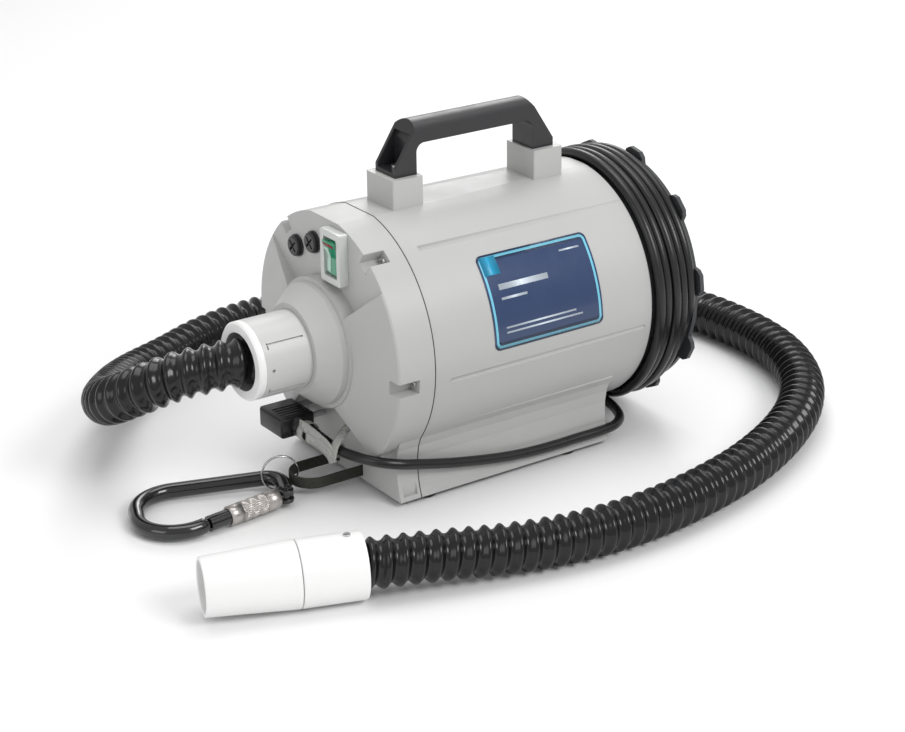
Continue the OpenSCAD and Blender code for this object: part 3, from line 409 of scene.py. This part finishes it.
def lathe(name, profile, place, axis, material, segments=128, radius_at=None):
    """A closed profile of (distance along the axis, radius) turned round the axis.

    radius_at, where given, adds relief as a function of distance, radius and angle.
    """
    spin = Vector((0, 0, 1)).rotation_difference(Vector(axis)).to_matrix()
    verts = []
    turn = [2 * math.pi * k / segments for k in range(segments)]
    for along, r in profile:
        for a in turn:
            full_r = r if radius_at is None else r + radius_at(along, r, a)
            verts.append(Vector(place) + spin @ Vector((full_r * math.cos(a), full_r * math.sin(a), along)))
    return new_mesh(name, verts, grid_faces(len(profile), segments, closed_rows=True), material)


def rounded_profile(points, radius, steps=4):
    """The closed outline with each corner cut to a small round."""
    out = []
    n = len(points)
    for i in range(n):
        a, b, c = (np.array(points[(i + k - 1) % n], float) for k in range(3))
        reach = min(radius, 0.45 * np.linalg.norm(a - b), 0.45 * np.linalg.norm(c - b))
        start, end = b + reach * unit(a - b), b + reach * unit(c - b)
        for t in np.linspace(0, 1, steps + 1):
            out.append(tuple((1 - t) ** 2 * start + 2 * t * (1 - t) * b + t ** 2 * end))
    return out


def ribbon(name, path, across, width, thick, material, ridges=0, ridge_depth=0.0):
    """A flat strip along a path. across is the direction of its width; ridges may run along one face."""
    heads, _, _ = frames_along(path)
    across = np.tile(np.array(across, float), (len(path), 1))
    across = across - (across * heads).sum(1)[:, None] * heads
    across /= np.linalg.norm(across, axis=1)[:, None]
    normal = np.cross(heads, across)
    n = max(5, ridges * 4)
    w = np.linspace(-0.5, 0.5, n) * width
    face = 0.5 * thick * (1 - 0.35 * np.abs(np.linspace(-1, 1, n)) ** 6)
    face = face - ridge_depth * (0.5 + 0.5 * np.cos(np.linspace(0, 2 * math.pi * max(ridges, 1), n)))
    outline = [(w[k], face[k]) for k in range(n)] + [(w[k], -face[k]) for k in range(n - 1, -1, -1)]
    verts = [c + x * across[i] + y * normal[i] for i, c in enumerate(path) for x, y in outline]
    faces = grid_faces(len(path), len(outline)) + end_faces(len(path), len(outline))
    return new_mesh(name, verts, faces, material)


def thicken(obj, thickness):
    """A sheet gets a thickness."""
    obj.modifiers.new("thickness", "SOLIDIFY").thickness = thickness
    return obj


def soft_box(name, size, place, material, edge):
    """A box with rounded edges."""
    bm = bmesh.new()
    bmesh.ops.create_cube(bm, size=1)
    bmesh.ops.scale(bm, vec=size, verts=bm.verts)
    bmesh.ops.bevel(bm, geom=bm.edges[:], offset=edge, segments=3, profile=0.5, affect="EDGES")
    bmesh.ops.transform(bm, matrix=Matrix.Translation(place), verts=bm.verts)
    mesh = bpy.data.meshes.new(name)
    bm.to_mesh(mesh)
    bm.free()
    return finished(name, mesh, material)


# ------------------------------------------------------------------ mains lead

# The turns lie side by side, first one at the rear. Angles are in degrees, 270 at the bottom.
WIND_R = 0.0992
TURN_STEP = 0.00805
TURNS = 5
FIRST_TURN_Y = 0.2457
# The lead comes out of its grommet deeper and further forward, and rises to the first turn.
GROMMET_ANGLE = 330
GROMMET_DEPTH = 0.0075
GROMMET_FORWARD = 0.0015
RISE_ANGLE = 36
# Between these angles each turn crosses over to the next.
CROSS_FROM = 278
CROSS_TO = 318
# Wound by hand, the turns stand off the drum by different amounts.
LIFTS = (0.0, 0.0004, 0.0022, 0.0006, 0.0026, 0.0002)


def wind_point(angle, r, y):
    """A point round the drum."""
    return at(r * math.cos(math.radians(angle)), y, AXIS_Z + r * math.sin(math.radians(angle)))


def smoothstep(t):
    """Runs from 0 to 1 with soft ends."""
    t = min(max(t, 0.0), 1.0)
    return t * t * (3 - 2 * t)


def winding():
    """Five turns side by side round the drum, from the grommet to the bottom, heading towards +X."""
    points = []
    last = 270 + 360 * TURNS
    for angle in np.arange(GROMMET_ANGLE + 6, last + 0.1, 4):
        rise = smoothstep((angle - GROMMET_ANGLE) / RISE_ANGLE)
        lift = np.interp((angle - GROMMET_ANGLE) / 360, range(TURNS + 1), LIFTS)
        r = WIND_R - GROMMET_DEPTH * (1 - rise) + lift
        crossings = sum(smoothstep((angle - 360 * k - CROSS_FROM) / (CROSS_TO - CROSS_FROM))
                        for k in range(1, TURNS + 1))
        y = FIRST_TURN_Y - GROMMET_FORWARD * (1 - rise) - TURN_STEP * crossings
        points.append(wind_point(angle, r, y))
    return points


# From the bottom of the drum along the base, round the front corner and across to the plug.
RUN = [
    (0.018, 0.2135, 0.0163), (0.036, 0.212, 0.0155), (0.054, 0.208, 0.015), (0.069, 0.2, 0.015),
    (0.0785, 0.187, 0.0152), (0.0806, 0.171, 0.015), (0.08, 0.149, 0.0146), (0.0797, 0.126, 0.0143),
    (0.0796, 0.102, 0.015), (0.0794, 0.079, 0.017), (0.079, 0.056, 0.0203), (0.0786, 0.032, 0.0246),
    (0.0785, 0.012, 0.029), (0.079, -0.004, 0.0332), (0.0788, -0.018, 0.0368), (0.0735, -0.031, 0.0396),
    (0.063, -0.0392, 0.0406), (0.05, -0.0432, 0.0402), (0.036, -0.0446, 0.039), (0.021, -0.0448, 0.0384)
]
lead_path = smooth_path(winding() + [at(*p) for p in RUN], 0.003)
lead = tube("mains_lead", lead_path, CORD_D / 2, 20, MATERIALS["cord_black"])
stand_for(lead, "cord_run", "cord_winding")

# Plug: a moulded block with grip ribs, and a ribbed boot that tapers to the lead.
PLUG_AT = at(-0.0325, -0.0515, 0.0435)
PLUG_SIZE = Vector((0.035, 0.030, 0.017))
PLUG_EDGE = 0.0024
BOOT_FROM = PLUG_AT + Vector((PLUG_SIZE.x / 2, 0, 0))
BOOT_TO = at(0.0205, -0.0449, 0.0384)
BOOT_RIBS = 7
RIBS_FROM = 0.0045
FIRST_RIB_R = 0.0070
LAST_RIB_R = 0.0048
GRIP_RIBS = 5
GRIP_PITCH = 0.0042
GRIP_SIZE = (0.0022, 0.022, 0.0009)
boot_len = (BOOT_TO - BOOT_FROM).length
boot_axis = (BOOT_TO - BOOT_FROM).normalized()


def boot_profile():
    """A neck, then ribs that shrink towards the lead."""
    pts = [(-0.004, 0.0), (-0.004, 0.0074), (0.003, 0.0074), (0.004, 0.0066)]
    pitch = (boot_len - RIBS_FROM) / BOOT_RIBS
    for k in range(BOOT_RIBS):
        r = FIRST_RIB_R - (FIRST_RIB_R - LAST_RIB_R) * k / (BOOT_RIBS - 1)
        z = RIBS_FROM + k * pitch
        pts += [(z, r), (z + 0.62 * pitch, r - 0.0001), (z + 0.64 * pitch, r - 0.0011),
                (z + 0.98 * pitch, r - 0.0012)]
    return pts + [(boot_len, 0.0044), (boot_len, 0.0)]


plug = soft_box("plug_body", PLUG_SIZE, PLUG_AT, MATERIALS["cord_black"], PLUG_EDGE)
stand_for(plug, "mains_plug")
boot = lathe("plug_boot", rounded_profile(boot_profile(), 0.0003, 2), BOOT_FROM, boot_axis,
             MATERIALS["cord_black"], 64)
add_to(boot, "mains_plug")
for k in range(GRIP_RIBS):
    grip_at = PLUG_AT + Vector((-0.004 + GRIP_PITCH * k, 0, PLUG_SIZE.z / 2 + 0.0001))
    grip = soft_box(f"plug_grip_{k}", GRIP_SIZE, grip_at, MATERIALS["cord_black"], 0.0004)
    add_to(grip, "mains_plug")
plug_pins = frame["nodes"]["plug_pins"]
plug_pins.data.materials[0] = MATERIALS["steel"]


# ------------------------------------------------------------------ hose and nozzle

# Out of the port, down to the left, round behind the housing and back to the nozzle at the front.
HOSE_ROUTE = [
    (0, -0.07, 0.116), (0, -0.088, 0.116), (0, -0.107, 0.116), (-0.006, -0.125, 0.114),
    (-0.02, -0.15, 0.108), (-0.041, -0.17, 0.095), (-0.076, -0.177, 0.076), (-0.128, -0.159, 0.054),
    (-0.186, -0.121, 0.036), (-0.224, -0.086, 0.025), (-0.252, -0.04, 0.02), (-0.274, 0.004, 0.019),
    (-0.287, 0.055, 0.019), (-0.288, 0.115, 0.019), (-0.276, 0.185, 0.019), (-0.248, 0.255, 0.019),
    (-0.204, 0.319, 0.019), (-0.146, 0.369, 0.019), (-0.08, 0.397, 0.019), (-0.01, 0.403, 0.019),
    (0.05, 0.393, 0.019), (0.102, 0.367, 0.019), (0.144, 0.328, 0.019), (0.177, 0.279, 0.019),
    (0.202, 0.224, 0.019), (0.217, 0.172, 0.019), (0.226, 0.117, 0.019), (0.227, 0.067, 0.019),
    (0.221, 0.021, 0.0193), (0.21, -0.021, 0.0205), (0.197, -0.063, 0.0234), (0.184, -0.101, 0.0246),
    (0.1715, -0.137, 0.0246),
]
HOSE_VALLEY_R = 0.0153
HOSE_STEP = 0.0011
HOSE_SIDES = 56


def hose_radius(far, turn):
    """One rib winds along the hose: wide round crests, narrow valleys."""
    phase = 2 * math.pi * far / HOSE_PITCH - turn
    crest = (0.5 + 0.5 * np.cos(phase)) ** 1.25
    return HOSE_VALLEY_R + (HOSE_D / 2 - HOSE_VALLEY_R) * crest


hose_line = smooth_path([at(*p) for p in HOSE_ROUTE], 0.004)
hose_path = smooth_path(hose_line[::2], HOSE_STEP)
hose = tube("hose", hose_path, hose_radius, HOSE_SIDES, MATERIALS["hose_black"])
stand_for(hose, "hose")

# The nozzle: a cuff on the hose's end, and a cone pushed over the cuff's spigot with a fine joint line.
NOZZLE_AT = at(*HOSE_ROUTE[-1])
NOZZLE_TURN = math.radians(-19.1)
NOZZLE_AXIS = Vector((math.sin(NOZZLE_TURN), -math.cos(NOZZLE_TURN), 0))
CUFF_BACK = 0.022
CUFF_LEN = 0.047
CUFF_R = 0.0246
HOSE_SEAT_R = 0.0195
SPIGOT_LEN = 0.017
SPIGOT_R = CUFF_R - 0.003
SPIGOT_BORE_R = 0.0168
SOCKET_LEN = 0.0185
SOCKET_R = CUFF_R - 0.0029
MOUTH_R = 0.0212
CONE_LEN = 0.067
JOINT_GAP = 0.0003

cuff_end = CUFF_LEN - CUFF_BACK
cuff = lathe("nozzle_cuff", rounded_profile([
    (-CUFF_BACK, HOSE_SEAT_R), (-CUFF_BACK, CUFF_R), (cuff_end - JOINT_GAP, CUFF_R),
    (cuff_end - JOINT_GAP, SPIGOT_R), (cuff_end + SPIGOT_LEN, SPIGOT_R),
    (cuff_end + SPIGOT_LEN, SPIGOT_BORE_R), (0.002, SPIGOT_BORE_R), (0.002, HOSE_SEAT_R)], 0.0009),
    NOZZLE_AT, NOZZLE_AXIS, MATERIALS["white_plastic"])
stand_for(cuff, "nozzle_cuff")
tip_from = cuff_end + JOINT_GAP
tip_to = tip_from + CONE_LEN - JOINT_GAP
tip = lathe("nozzle_tip", rounded_profile([
    (tip_from, SOCKET_R), (tip_from, CUFF_R), (tip_from + 0.004, CUFF_R - 0.0001),
    (tip_to, MOUTH_R), (tip_to, MOUTH_R - 0.0026),
    (tip_from + SOCKET_LEN, CUFF_R - 0.0042), (tip_from + SOCKET_LEN, SOCKET_R)], 0.0008),
    NOZZLE_AT, NOZZLE_AXIS, MATERIALS["white_plastic"])
stand_for(tip, "nozzle_tip")


# ------------------------------------------------------------------ painted shade along the seam between the cap and the barrel

# Up the base's skirt, then round the barrel until its top goes flat. The other side mirrors it.
SKIRT = [(0.0786, 0.004), (0.0762, 0.011), (0.0744, 0.019), (0.0736, 0.028), (0.0736, 0.036),
         (0.0753, 0.046), (0.0783, 0.0535)]
SKIRT_ANGLE = -34
FLAT_ANGLE = 78.8
SEAM_SHADE_R = 0.0004
seam_side = SKIRT + [(BARREL_R * math.cos(math.radians(a)), AXIS_Z + BARREL_R * math.sin(math.radians(a)))
                     for a in np.linspace(SKIRT_ANGLE, FLAT_ANGLE, 60)]
seam_points = [at(x, 0, z) for x, z in seam_side] + [at(-x, 0, z) for x, z in reversed(seam_side)]
# A thin dark grey tube laid along the seam is painted shade: it stands for the shadow in the gap between
# the cap and the barrel.
seam_shade_line = tube("seam_shade_line", even_path(seam_points, 0.002), SEAM_SHADE_R, 8, MATERIALS["dark_plastic"],
                up=(0, 1, 0))
add_to(seam_shade_line, "front_cap")


# ------------------------------------------------------------------ label

LABEL_Y = (0.0545, 0.1575)
LABEL_ANGLES = (1.0, 43.7)
LABEL_STEPS = 24
# The sheets lie on the barrel, and the printed patches lie on the sheets.
SHEET_LIFT = 0.0001
PRINT_LIFT = 0.00045


def label_row(y, low, high, lift):
    """Points round the barrel at one place along it, between two angles."""
    r = BARREL_R - BARREL_TAPER * y / BARREL_LEN + lift
    turn = [math.radians(low + (high - low) * k / LABEL_STEPS) for k in range(LABEL_STEPS + 1)]
    return [at(r * math.cos(a), y, AXIS_Z + r * math.sin(a)) for a in turn]


def label_layer(name, rows, material, thickness):
    """A thin sheet through rows of points."""
    verts = [point for row in rows for point in row]
    faces = grid_faces(len(rows), LABEL_STEPS + 1, closed_cols=False)
    return thicken(new_mesh(name, verts, faces, material), thickness)


def label_patch(name, angles, ys, lift, material):
    """A thin curved patch over the label, between two angles and two places along the barrel."""
    rows = [label_row(y, angles[0], angles[1], PRINT_LIFT + lift) for y in ys]
    add_to(label_layer(name, rows, material, 0.00003), "label")


def label_sheet(name, inset, corner, lift, material):
    """A curved sheet with round corners, set in from the label's edge."""
    near, far = LABEL_Y[0] + inset, LABEL_Y[1] - inset
    lean = math.degrees(inset / BARREL_R)
    low, high = LABEL_ANGLES[0] + lean, LABEL_ANGLES[1] - lean
    ease = [corner * (1 - math.cos(math.radians(t))) for t in range(0, 90, 10)]
    places = [near + e for e in ease] + list(np.linspace(near + corner, far - corner, 12))
    places += [far - e for e in reversed(ease)]
    rows = []
    for y in places:
        short = max(corner - min(y - near, far - y), 0)
        cut = math.degrees((corner - math.sqrt(corner ** 2 - short ** 2)) / BARREL_R)
        rows.append(label_row(y, low + cut, high - cut, SHEET_LIFT + lift))
    return label_layer(name, rows, material, 0.00004)


stand_for(label_sheet("label_film", 0, 0.005, 0.00030, MATERIALS["label"]), "label")
add_to(label_sheet("label_border", 0.0016, 0.0042, 0.00034, LIGHT_BLUE), "label")
add_to(label_sheet("label_field", 0.0036, 0.0028, 0.00038, MATERIALS["label"]), "label")
label_patch("label_square", (34.0, 42.6), (0.0572, 0.0715), 9e-5, CYAN)
# Plain bars stand for the printed lines: lower angle, height in degrees, and the two ends along the barrel.
LABEL_BARS = [
    (27, 2.6, 0.066, 0.112),
    (22.6, 1.1, 0.066, 0.09),
    (10, 0.8, 0.066, 0.132),
    (7.8, 0.8, 0.066, 0.138),
    (37.2, 0.8, 0.129, 0.148),
]
for k, (angle, tall, start, end) in enumerate(LABEL_BARS):
    label_patch(f"label_bar_{k}", (angle, angle + tall), (start, end), 3e-5, PRINT_WHITE)


# ------------------------------------------------------------------ carabiner, ring and strap

# The carabiner lies in a plane of its own: u runs along it towards the strap, v across it, w up from it.
CARABINER_TURN = math.radians(67.9)
CARABINER_TIP = math.radians(1.9)
CARABINER_PIVOT_U = -0.0695
CARABINER_AT = (-0.0015, -0.0015, 0.0098)
u_dir = Vector((math.cos(CARABINER_TURN), math.sin(CARABINER_TURN), 0))
v_dir = Vector((u_dir.y, -u_dir.x, 0))


def on_carabiner(u, v, w=0.0):
    """A point of the carabiner's own plane, in the frame's coordinates."""
    reach = u - CARABINER_PIVOT_U
    along = CARABINER_PIVOT_U + reach * math.cos(CARABINER_TIP) - w * math.sin(CARABINER_TIP)
    z = reach * math.sin(CARABINER_TIP) + w * math.cos(CARABINER_TIP)
    return at(*(along * u_dir + v * v_dir + z * Vector((0, 0, 1)) + Vector(CARABINER_AT)))


def arc(centre, r, start, end, step=6):
    """Points round a centre between two angles, in degrees."""
    n = max(int(abs(end - start) / step), 2)
    return [(centre[0] + r * math.cos(math.radians(a)), centre[1] + r * math.sin(math.radians(a)))
            for a in np.linspace(start, end, n + 1)]


# The rod: a narrow end with the gate's hinge, a wide end with its nose. Each end has two round corners.
ROD_R = 0.006
HINGE_ANGLE = 20
NOSE_ANGLE = 56.5
NARROW_R = 0.014
NARROW_U = -0.0835
NARROW_V = (0.036, 0.051)
WIDE_R = 0.030
WIDE_U = -0.153
WIDE_V = (0.052, 0.064)
hinge_arc = arc((NARROW_U, NARROW_V[1]), NARROW_R, HINGE_ANGLE, 0)
nose_arc = arc((WIDE_U, WIDE_V[1]), WIDE_R, 180, NOSE_ANGLE)
HINGE = hinge_arc[0]
NOSE = nose_arc[-1]
outline = hinge_arc + arc((NARROW_U, NARROW_V[0]), NARROW_R, 0, -90)
outline += arc((WIDE_U, WIDE_V[0]), WIDE_R, 270, 180) + nose_arc
rod_path = even_path([on_carabiner(*p) for p in outline], 0.0015)
rod = tube("carabiner_rod", rod_path, ROD_R, 40, MATERIALS["anodised_black"])
stand_for(rod, "carabiner")
gate_dir = (on_carabiner(*NOSE) - on_carabiner(*HINGE)).normalized()
plane_up = (on_carabiner(0, 0, 1) - on_carabiner(0, 0, 0)).normalized()

EAR_R = 0.0064
EAR_H = 0.0054
FORK_H = 0.002
for name, low, high in (("carabiner_ear_low", -EAR_H, -FORK_H), ("carabiner_ear_high", FORK_H, EAR_H)):
    ear = lathe(name, rounded_profile([(low, 0), (low, EAR_R), (high, EAR_R), (high, 0)], 0.001),
                on_carabiner(*HINGE), plane_up, MATERIALS["anodised_black"], 64)
    add_to(ear, "carabiner")
NECK_LEN = 0.004
NECK_R = 0.0039
NECK_ROOT = 0.005
neck = [(-NECK_LEN, 0), (-NECK_LEN, NECK_R), (NECK_ROOT, NECK_R), (NECK_ROOT, 0)]
nose = lathe("carabiner_nose", rounded_profile(neck, 0.0006), on_carabiner(*NOSE), gate_dir,
             MATERIALS["anodised_black"], 64)
add_to(nose, "carabiner")

# The sleeve runs along the gate from near its hinge. It has a smooth band at each end and a knurled middle.
SLEEVE_AT = 0.0075
SLEEVE_LEN = 0.045
SLEEVE_R = 0.0078
SLEEVE_BORE_R = 0.0041
SLEEVE_MOUTH_R = 0.0061
BAND = 0.012
FLUTES = 30
FLUTE_LEAN = 400
FLUTE_DEPTH = 0.0002
SLEEVE_SEGMENTS = 240


def knurl(along, r, a):
    """Fine crossed flutes on the middle of the sleeve, as a change of its radius."""
    if r < SLEEVE_R - 0.0003 or not SLEEVE_AT + BAND < along < SLEEVE_AT + SLEEVE_LEN - BAND:
        return 0
    lean = (along - SLEEVE_AT) * FLUTE_LEAN
    return FLUTE_DEPTH * (math.cos(FLUTES * a + lean) + math.cos(FLUTES * a - lean) - 2)


def groove(z):
    """A turned groove between a smooth band of the sleeve and its knurled middle."""
    return [(z, SLEEVE_R - 0.0001), (z + 0.0003, SLEEVE_R - 0.0007), (z + 0.0008, SLEEVE_R - 0.0007),
            (z + 0.001, SLEEVE_R - 0.0002)]


sleeve_end = SLEEVE_AT + SLEEVE_LEN
middle = [(z, SLEEVE_R) for z in np.arange(SLEEVE_AT + BAND, sleeve_end - BAND, 0.0008)]
sleeve_profile = [(SLEEVE_AT, SLEEVE_BORE_R), (SLEEVE_AT, SLEEVE_R - 0.001),
                  (SLEEVE_AT + 0.001, SLEEVE_R - 0.0001)]
sleeve_profile += groove(SLEEVE_AT + BAND - 0.001) + middle + groove(sleeve_end - BAND)
sleeve_profile += [(sleeve_end - 0.001, SLEEVE_R - 0.0001), (sleeve_end, SLEEVE_R - 0.001),
                   (sleeve_end, SLEEVE_MOUTH_R), (sleeve_end - 0.01, SLEEVE_MOUTH_R),
                   (sleeve_end - 0.01, SLEEVE_BORE_R)]
sleeve = lathe("sleeve", sleeve_profile, on_carabiner(*HINGE), gate_dir, MATERIALS["knurled_metal"],
               SLEEVE_SEGMENTS, knurl)
stand_for(sleeve, "gate_sleeve")

# Split ring: two touching turns of wire that part where a key goes on.
RING_ANGLE = math.radians(-18)
STRAP_MID = (0.0068, -0.054)
STRAP_R = 0.017
RING_OFFSET = 0.008
RING_Z = 0.0157
RING_R = 0.01425
WIRE_R = 0.0007
COIL_SHIFT = 0.0011
ring_side = Vector((-math.sin(RING_ANGLE), math.cos(RING_ANGLE), 0))
ring_normal = Vector((math.cos(RING_ANGLE), math.sin(RING_ANGLE), 0))
cross_x = STRAP_MID[0] + STRAP_R * math.sin(RING_ANGLE)
cross_y = STRAP_MID[1] - STRAP_R * math.cos(RING_ANGLE)
ring_mid = at(cross_x, cross_y, 0) - RING_OFFSET * ring_side + Vector((0, 0, RING_Z))
ring_points = []
for angle in range(0, 715, 5):
    shift = COIL_SHIFT / 2 - COIL_SHIFT * smoothstep((angle - 300) / 90)
    turn = math.radians(angle + 40)
    spoke = math.cos(turn) * ring_side + math.sin(turn) * Vector((0, 0, 1))
    ring_points.append(ring_mid + RING_R * spoke + shift * ring_normal)
ring = tube("split_ring", even_path(ring_points, 0.0009), WIRE_R, 14, MATERIALS["steel"],
            up=tuple(ring_normal))
stand_for(ring, "split_ring")

# The strap is woven: ridges run along it, and it bends round in a U.
STRAP_Z = (0.0069, 0.0159)
STRAP_END_Y = -0.0095
strap_mid_z = 0.5 * (STRAP_Z[0] + STRAP_Z[1])
strap_line = [(STRAP_MID[0] - STRAP_R, STRAP_END_Y)]
strap_line += arc(STRAP_MID, STRAP_R, 180, 360)
strap_line += [(STRAP_MID[0] + STRAP_R, STRAP_END_Y), (STRAP_MID[0] - STRAP_R + 0.003, STRAP_END_Y)]
strap_path = even_path([at(x, y, strap_mid_z) for x, y in strap_line], 0.0009)
strap = ribbon("strap", strap_path, (0, 0, 1), STRAP_Z[1] - STRAP_Z[0], 0.0018, MATERIALS["webbing"],
               ridges=6, ridge_depth=0.00025)
stand_for(strap, "strap_loop")


# ------------------------------------------------------------------ tie

CLEAR = moulded("tie_clear", (0.62, 0.62, 0.59), 0.28, depth=1e-5, edge=0.0003)
CLEAR.set("Transmission Weight", 0.45)


def strip(name, points, width, thick, across):
    """A clear flat strap through points given from the seam."""
    return ribbon(name, smooth_path([at(*p) for p in points], 0.001), across, width, thick, CLEAR.mat)


def loop_round(centre, half_y, half_z, lean=0.0):
    """A loop round the lead, which runs along X. lean tips its top towards +X."""
    loop = []
    for angle in range(0, 361, 20):
        turn = math.radians(angle)
        loop.append((centre[0] + lean * math.sin(turn), centre[1] + half_y * math.cos(turn),
                     centre[2] + half_z * math.sin(turn)))
    return loop


lead_loop = loop_round((0.031, -0.0447, 0.0388), 0.0053, 0.0056, 0.0005)
stand_for(strip("tie_loop", lead_loop, 0.0055, 0.001, (1, 0, 0)), "cord_tie")
boot_band_at = BOOT_FROM + 0.011 * boot_axis - Vector((0, SEAM, 0))
boot_loop = loop_round(boot_band_at, 0.0078, 0.0078)
add_to(strip("tie_boot_band", boot_loop, 0.006, 0.001, tuple(boot_axis)), "cord_tie")
# Each arm: the direction of its width, then its points.
TIE_ARMS = {
    "tie_left_arm": ((0.35, 0.1, 0.93), [
        (-0.006, -0.0556, 0.0492), (0.006, -0.0552, 0.0490), (0.017, -0.0540, 0.0468),
        (0.026, -0.0520, 0.0430), (0.031, -0.0512, 0.0390), (0.033, -0.0510, 0.0330)]),
    "tie_lower_arm": ((0.35, 0.1, 0.93), [
        (0.004, -0.0560, 0.0430), (0.014, -0.0550, 0.0420), (0.024, -0.0530, 0.0390),
        (0.031, -0.0516, 0.0350), (0.034, -0.0508, 0.0300)]),
    "tie_right_arm": ((1, 0.2, 0.1), [
        (0.033, -0.0512, 0.0340), (0.0345, -0.0500, 0.0420), (0.0335, -0.0460, 0.0470),
        (0.029, -0.0380, 0.0500), (0.024, -0.0305, 0.0515), (0.0195, -0.0225, 0.0520)]),
}
for name, (across, points) in TIE_ARMS.items():
    add_to(strip(name, points, 0.0085, 0.0011, across), "cord_tie")


# ------------------------------------------------------------------ switch

CONTROL_R = 0.076
SWITCH_ANGLE = math.radians(75)
PANEL_T = 0.0314
ROCKER_PIVOT_OUT = 0.0032
ROCKER_REST = math.radians(8)
switch_mid = at(CONTROL_R * math.cos(SWITCH_ANGLE), -PANEL_T, AXIS_Z + CONTROL_R * math.sin(SWITCH_ANGLE))


def on_rocker(x, out, up):
    """A point on the rocker, which rests with its top pressed in by 8 degrees."""
    turn = Matrix.Rotation(ROCKER_REST, 3, "X")
    pivot = switch_mid + Vector((0, -ROCKER_PIVOT_OUT, 0))
    return pivot + turn @ Vector((x, -out, up))


# The rocker's side view, as (out from the panel, up). It shrinks a little at its two ends in X.
rocker_outline = [(-0.0046, -0.004), (-0.002, -0.013), (0.0044, -0.0135), (0.0048, -0.0127), (0.0026, 0),
                  (0.0048, 0.0127), (0.0044, 0.0135), (-0.002, 0.013), (-0.0046, 0.004)]
rocker_profile = rounded_profile(rocker_outline, 0.0006, 3)
ROCKER_SECTIONS = [(-0.0082, 0.93), (-0.0079, 0.975), (-0.0075, 1.0),
                   (0.0075, 1.0), (0.0079, 0.975), (0.0082, 0.93)]
rocker_verts = [on_rocker(x, out * size, up * size)
                for x, size in ROCKER_SECTIONS for out, up in rocker_profile]
rocker_faces = grid_faces(len(ROCKER_SECTIONS), len(rocker_profile))
rocker_faces += end_faces(len(ROCKER_SECTIONS), len(rocker_profile))
rocker = new_mesh("rocker", rocker_verts, rocker_faces, MATERIALS["green_plastic"])
stand_for(rocker, "rocker")


def rocker_strip(name, x0, x1, ups, material):
    """A thin film that follows the rocker's front between two heights."""
    front = rocker_outline[2:7]
    heights = np.linspace(ups[0], ups[1], 12)
    outs = np.interp(heights, [up for _, up in front], [out for out, _ in front])
    verts = [on_rocker(x, out + 0.0003, height) for height, out in zip(heights, outs) for x in (x0, x1)]
    film = new_mesh(name, verts, grid_faces(len(heights), 2, closed_cols=False), material)
    add_to(thicken(film, 0.0003), "rocker")


# The pale mint band is painted light on the green rocker, standing for its lit front; the red strip is its
# printed mark.
rocker_strip("rocker_painted_light", -0.0074, -0.0012, (-0.0118, 0.0082), PAINTED_LIGHT_MINT)
rocker_strip("rocker_mark", -0.0066, 0.0066, (0.0095, 0.0122), RED)


# ------------------------------------------------------------------ floor

FLOOR_HALF = 6.0
FLOOR_DROP = 0.0002
corners = [(x * FLOOR_HALF, y * FLOOR_HALF, 0) for x, y in ((-1, -1), (1, -1), (1, 1), (-1, 1))]
floor = new_mesh("floor", corners, [(0, 1, 2, 3)], FLOOR.mat, smooth=False)
floor.location.z = -FLOOR_DROP
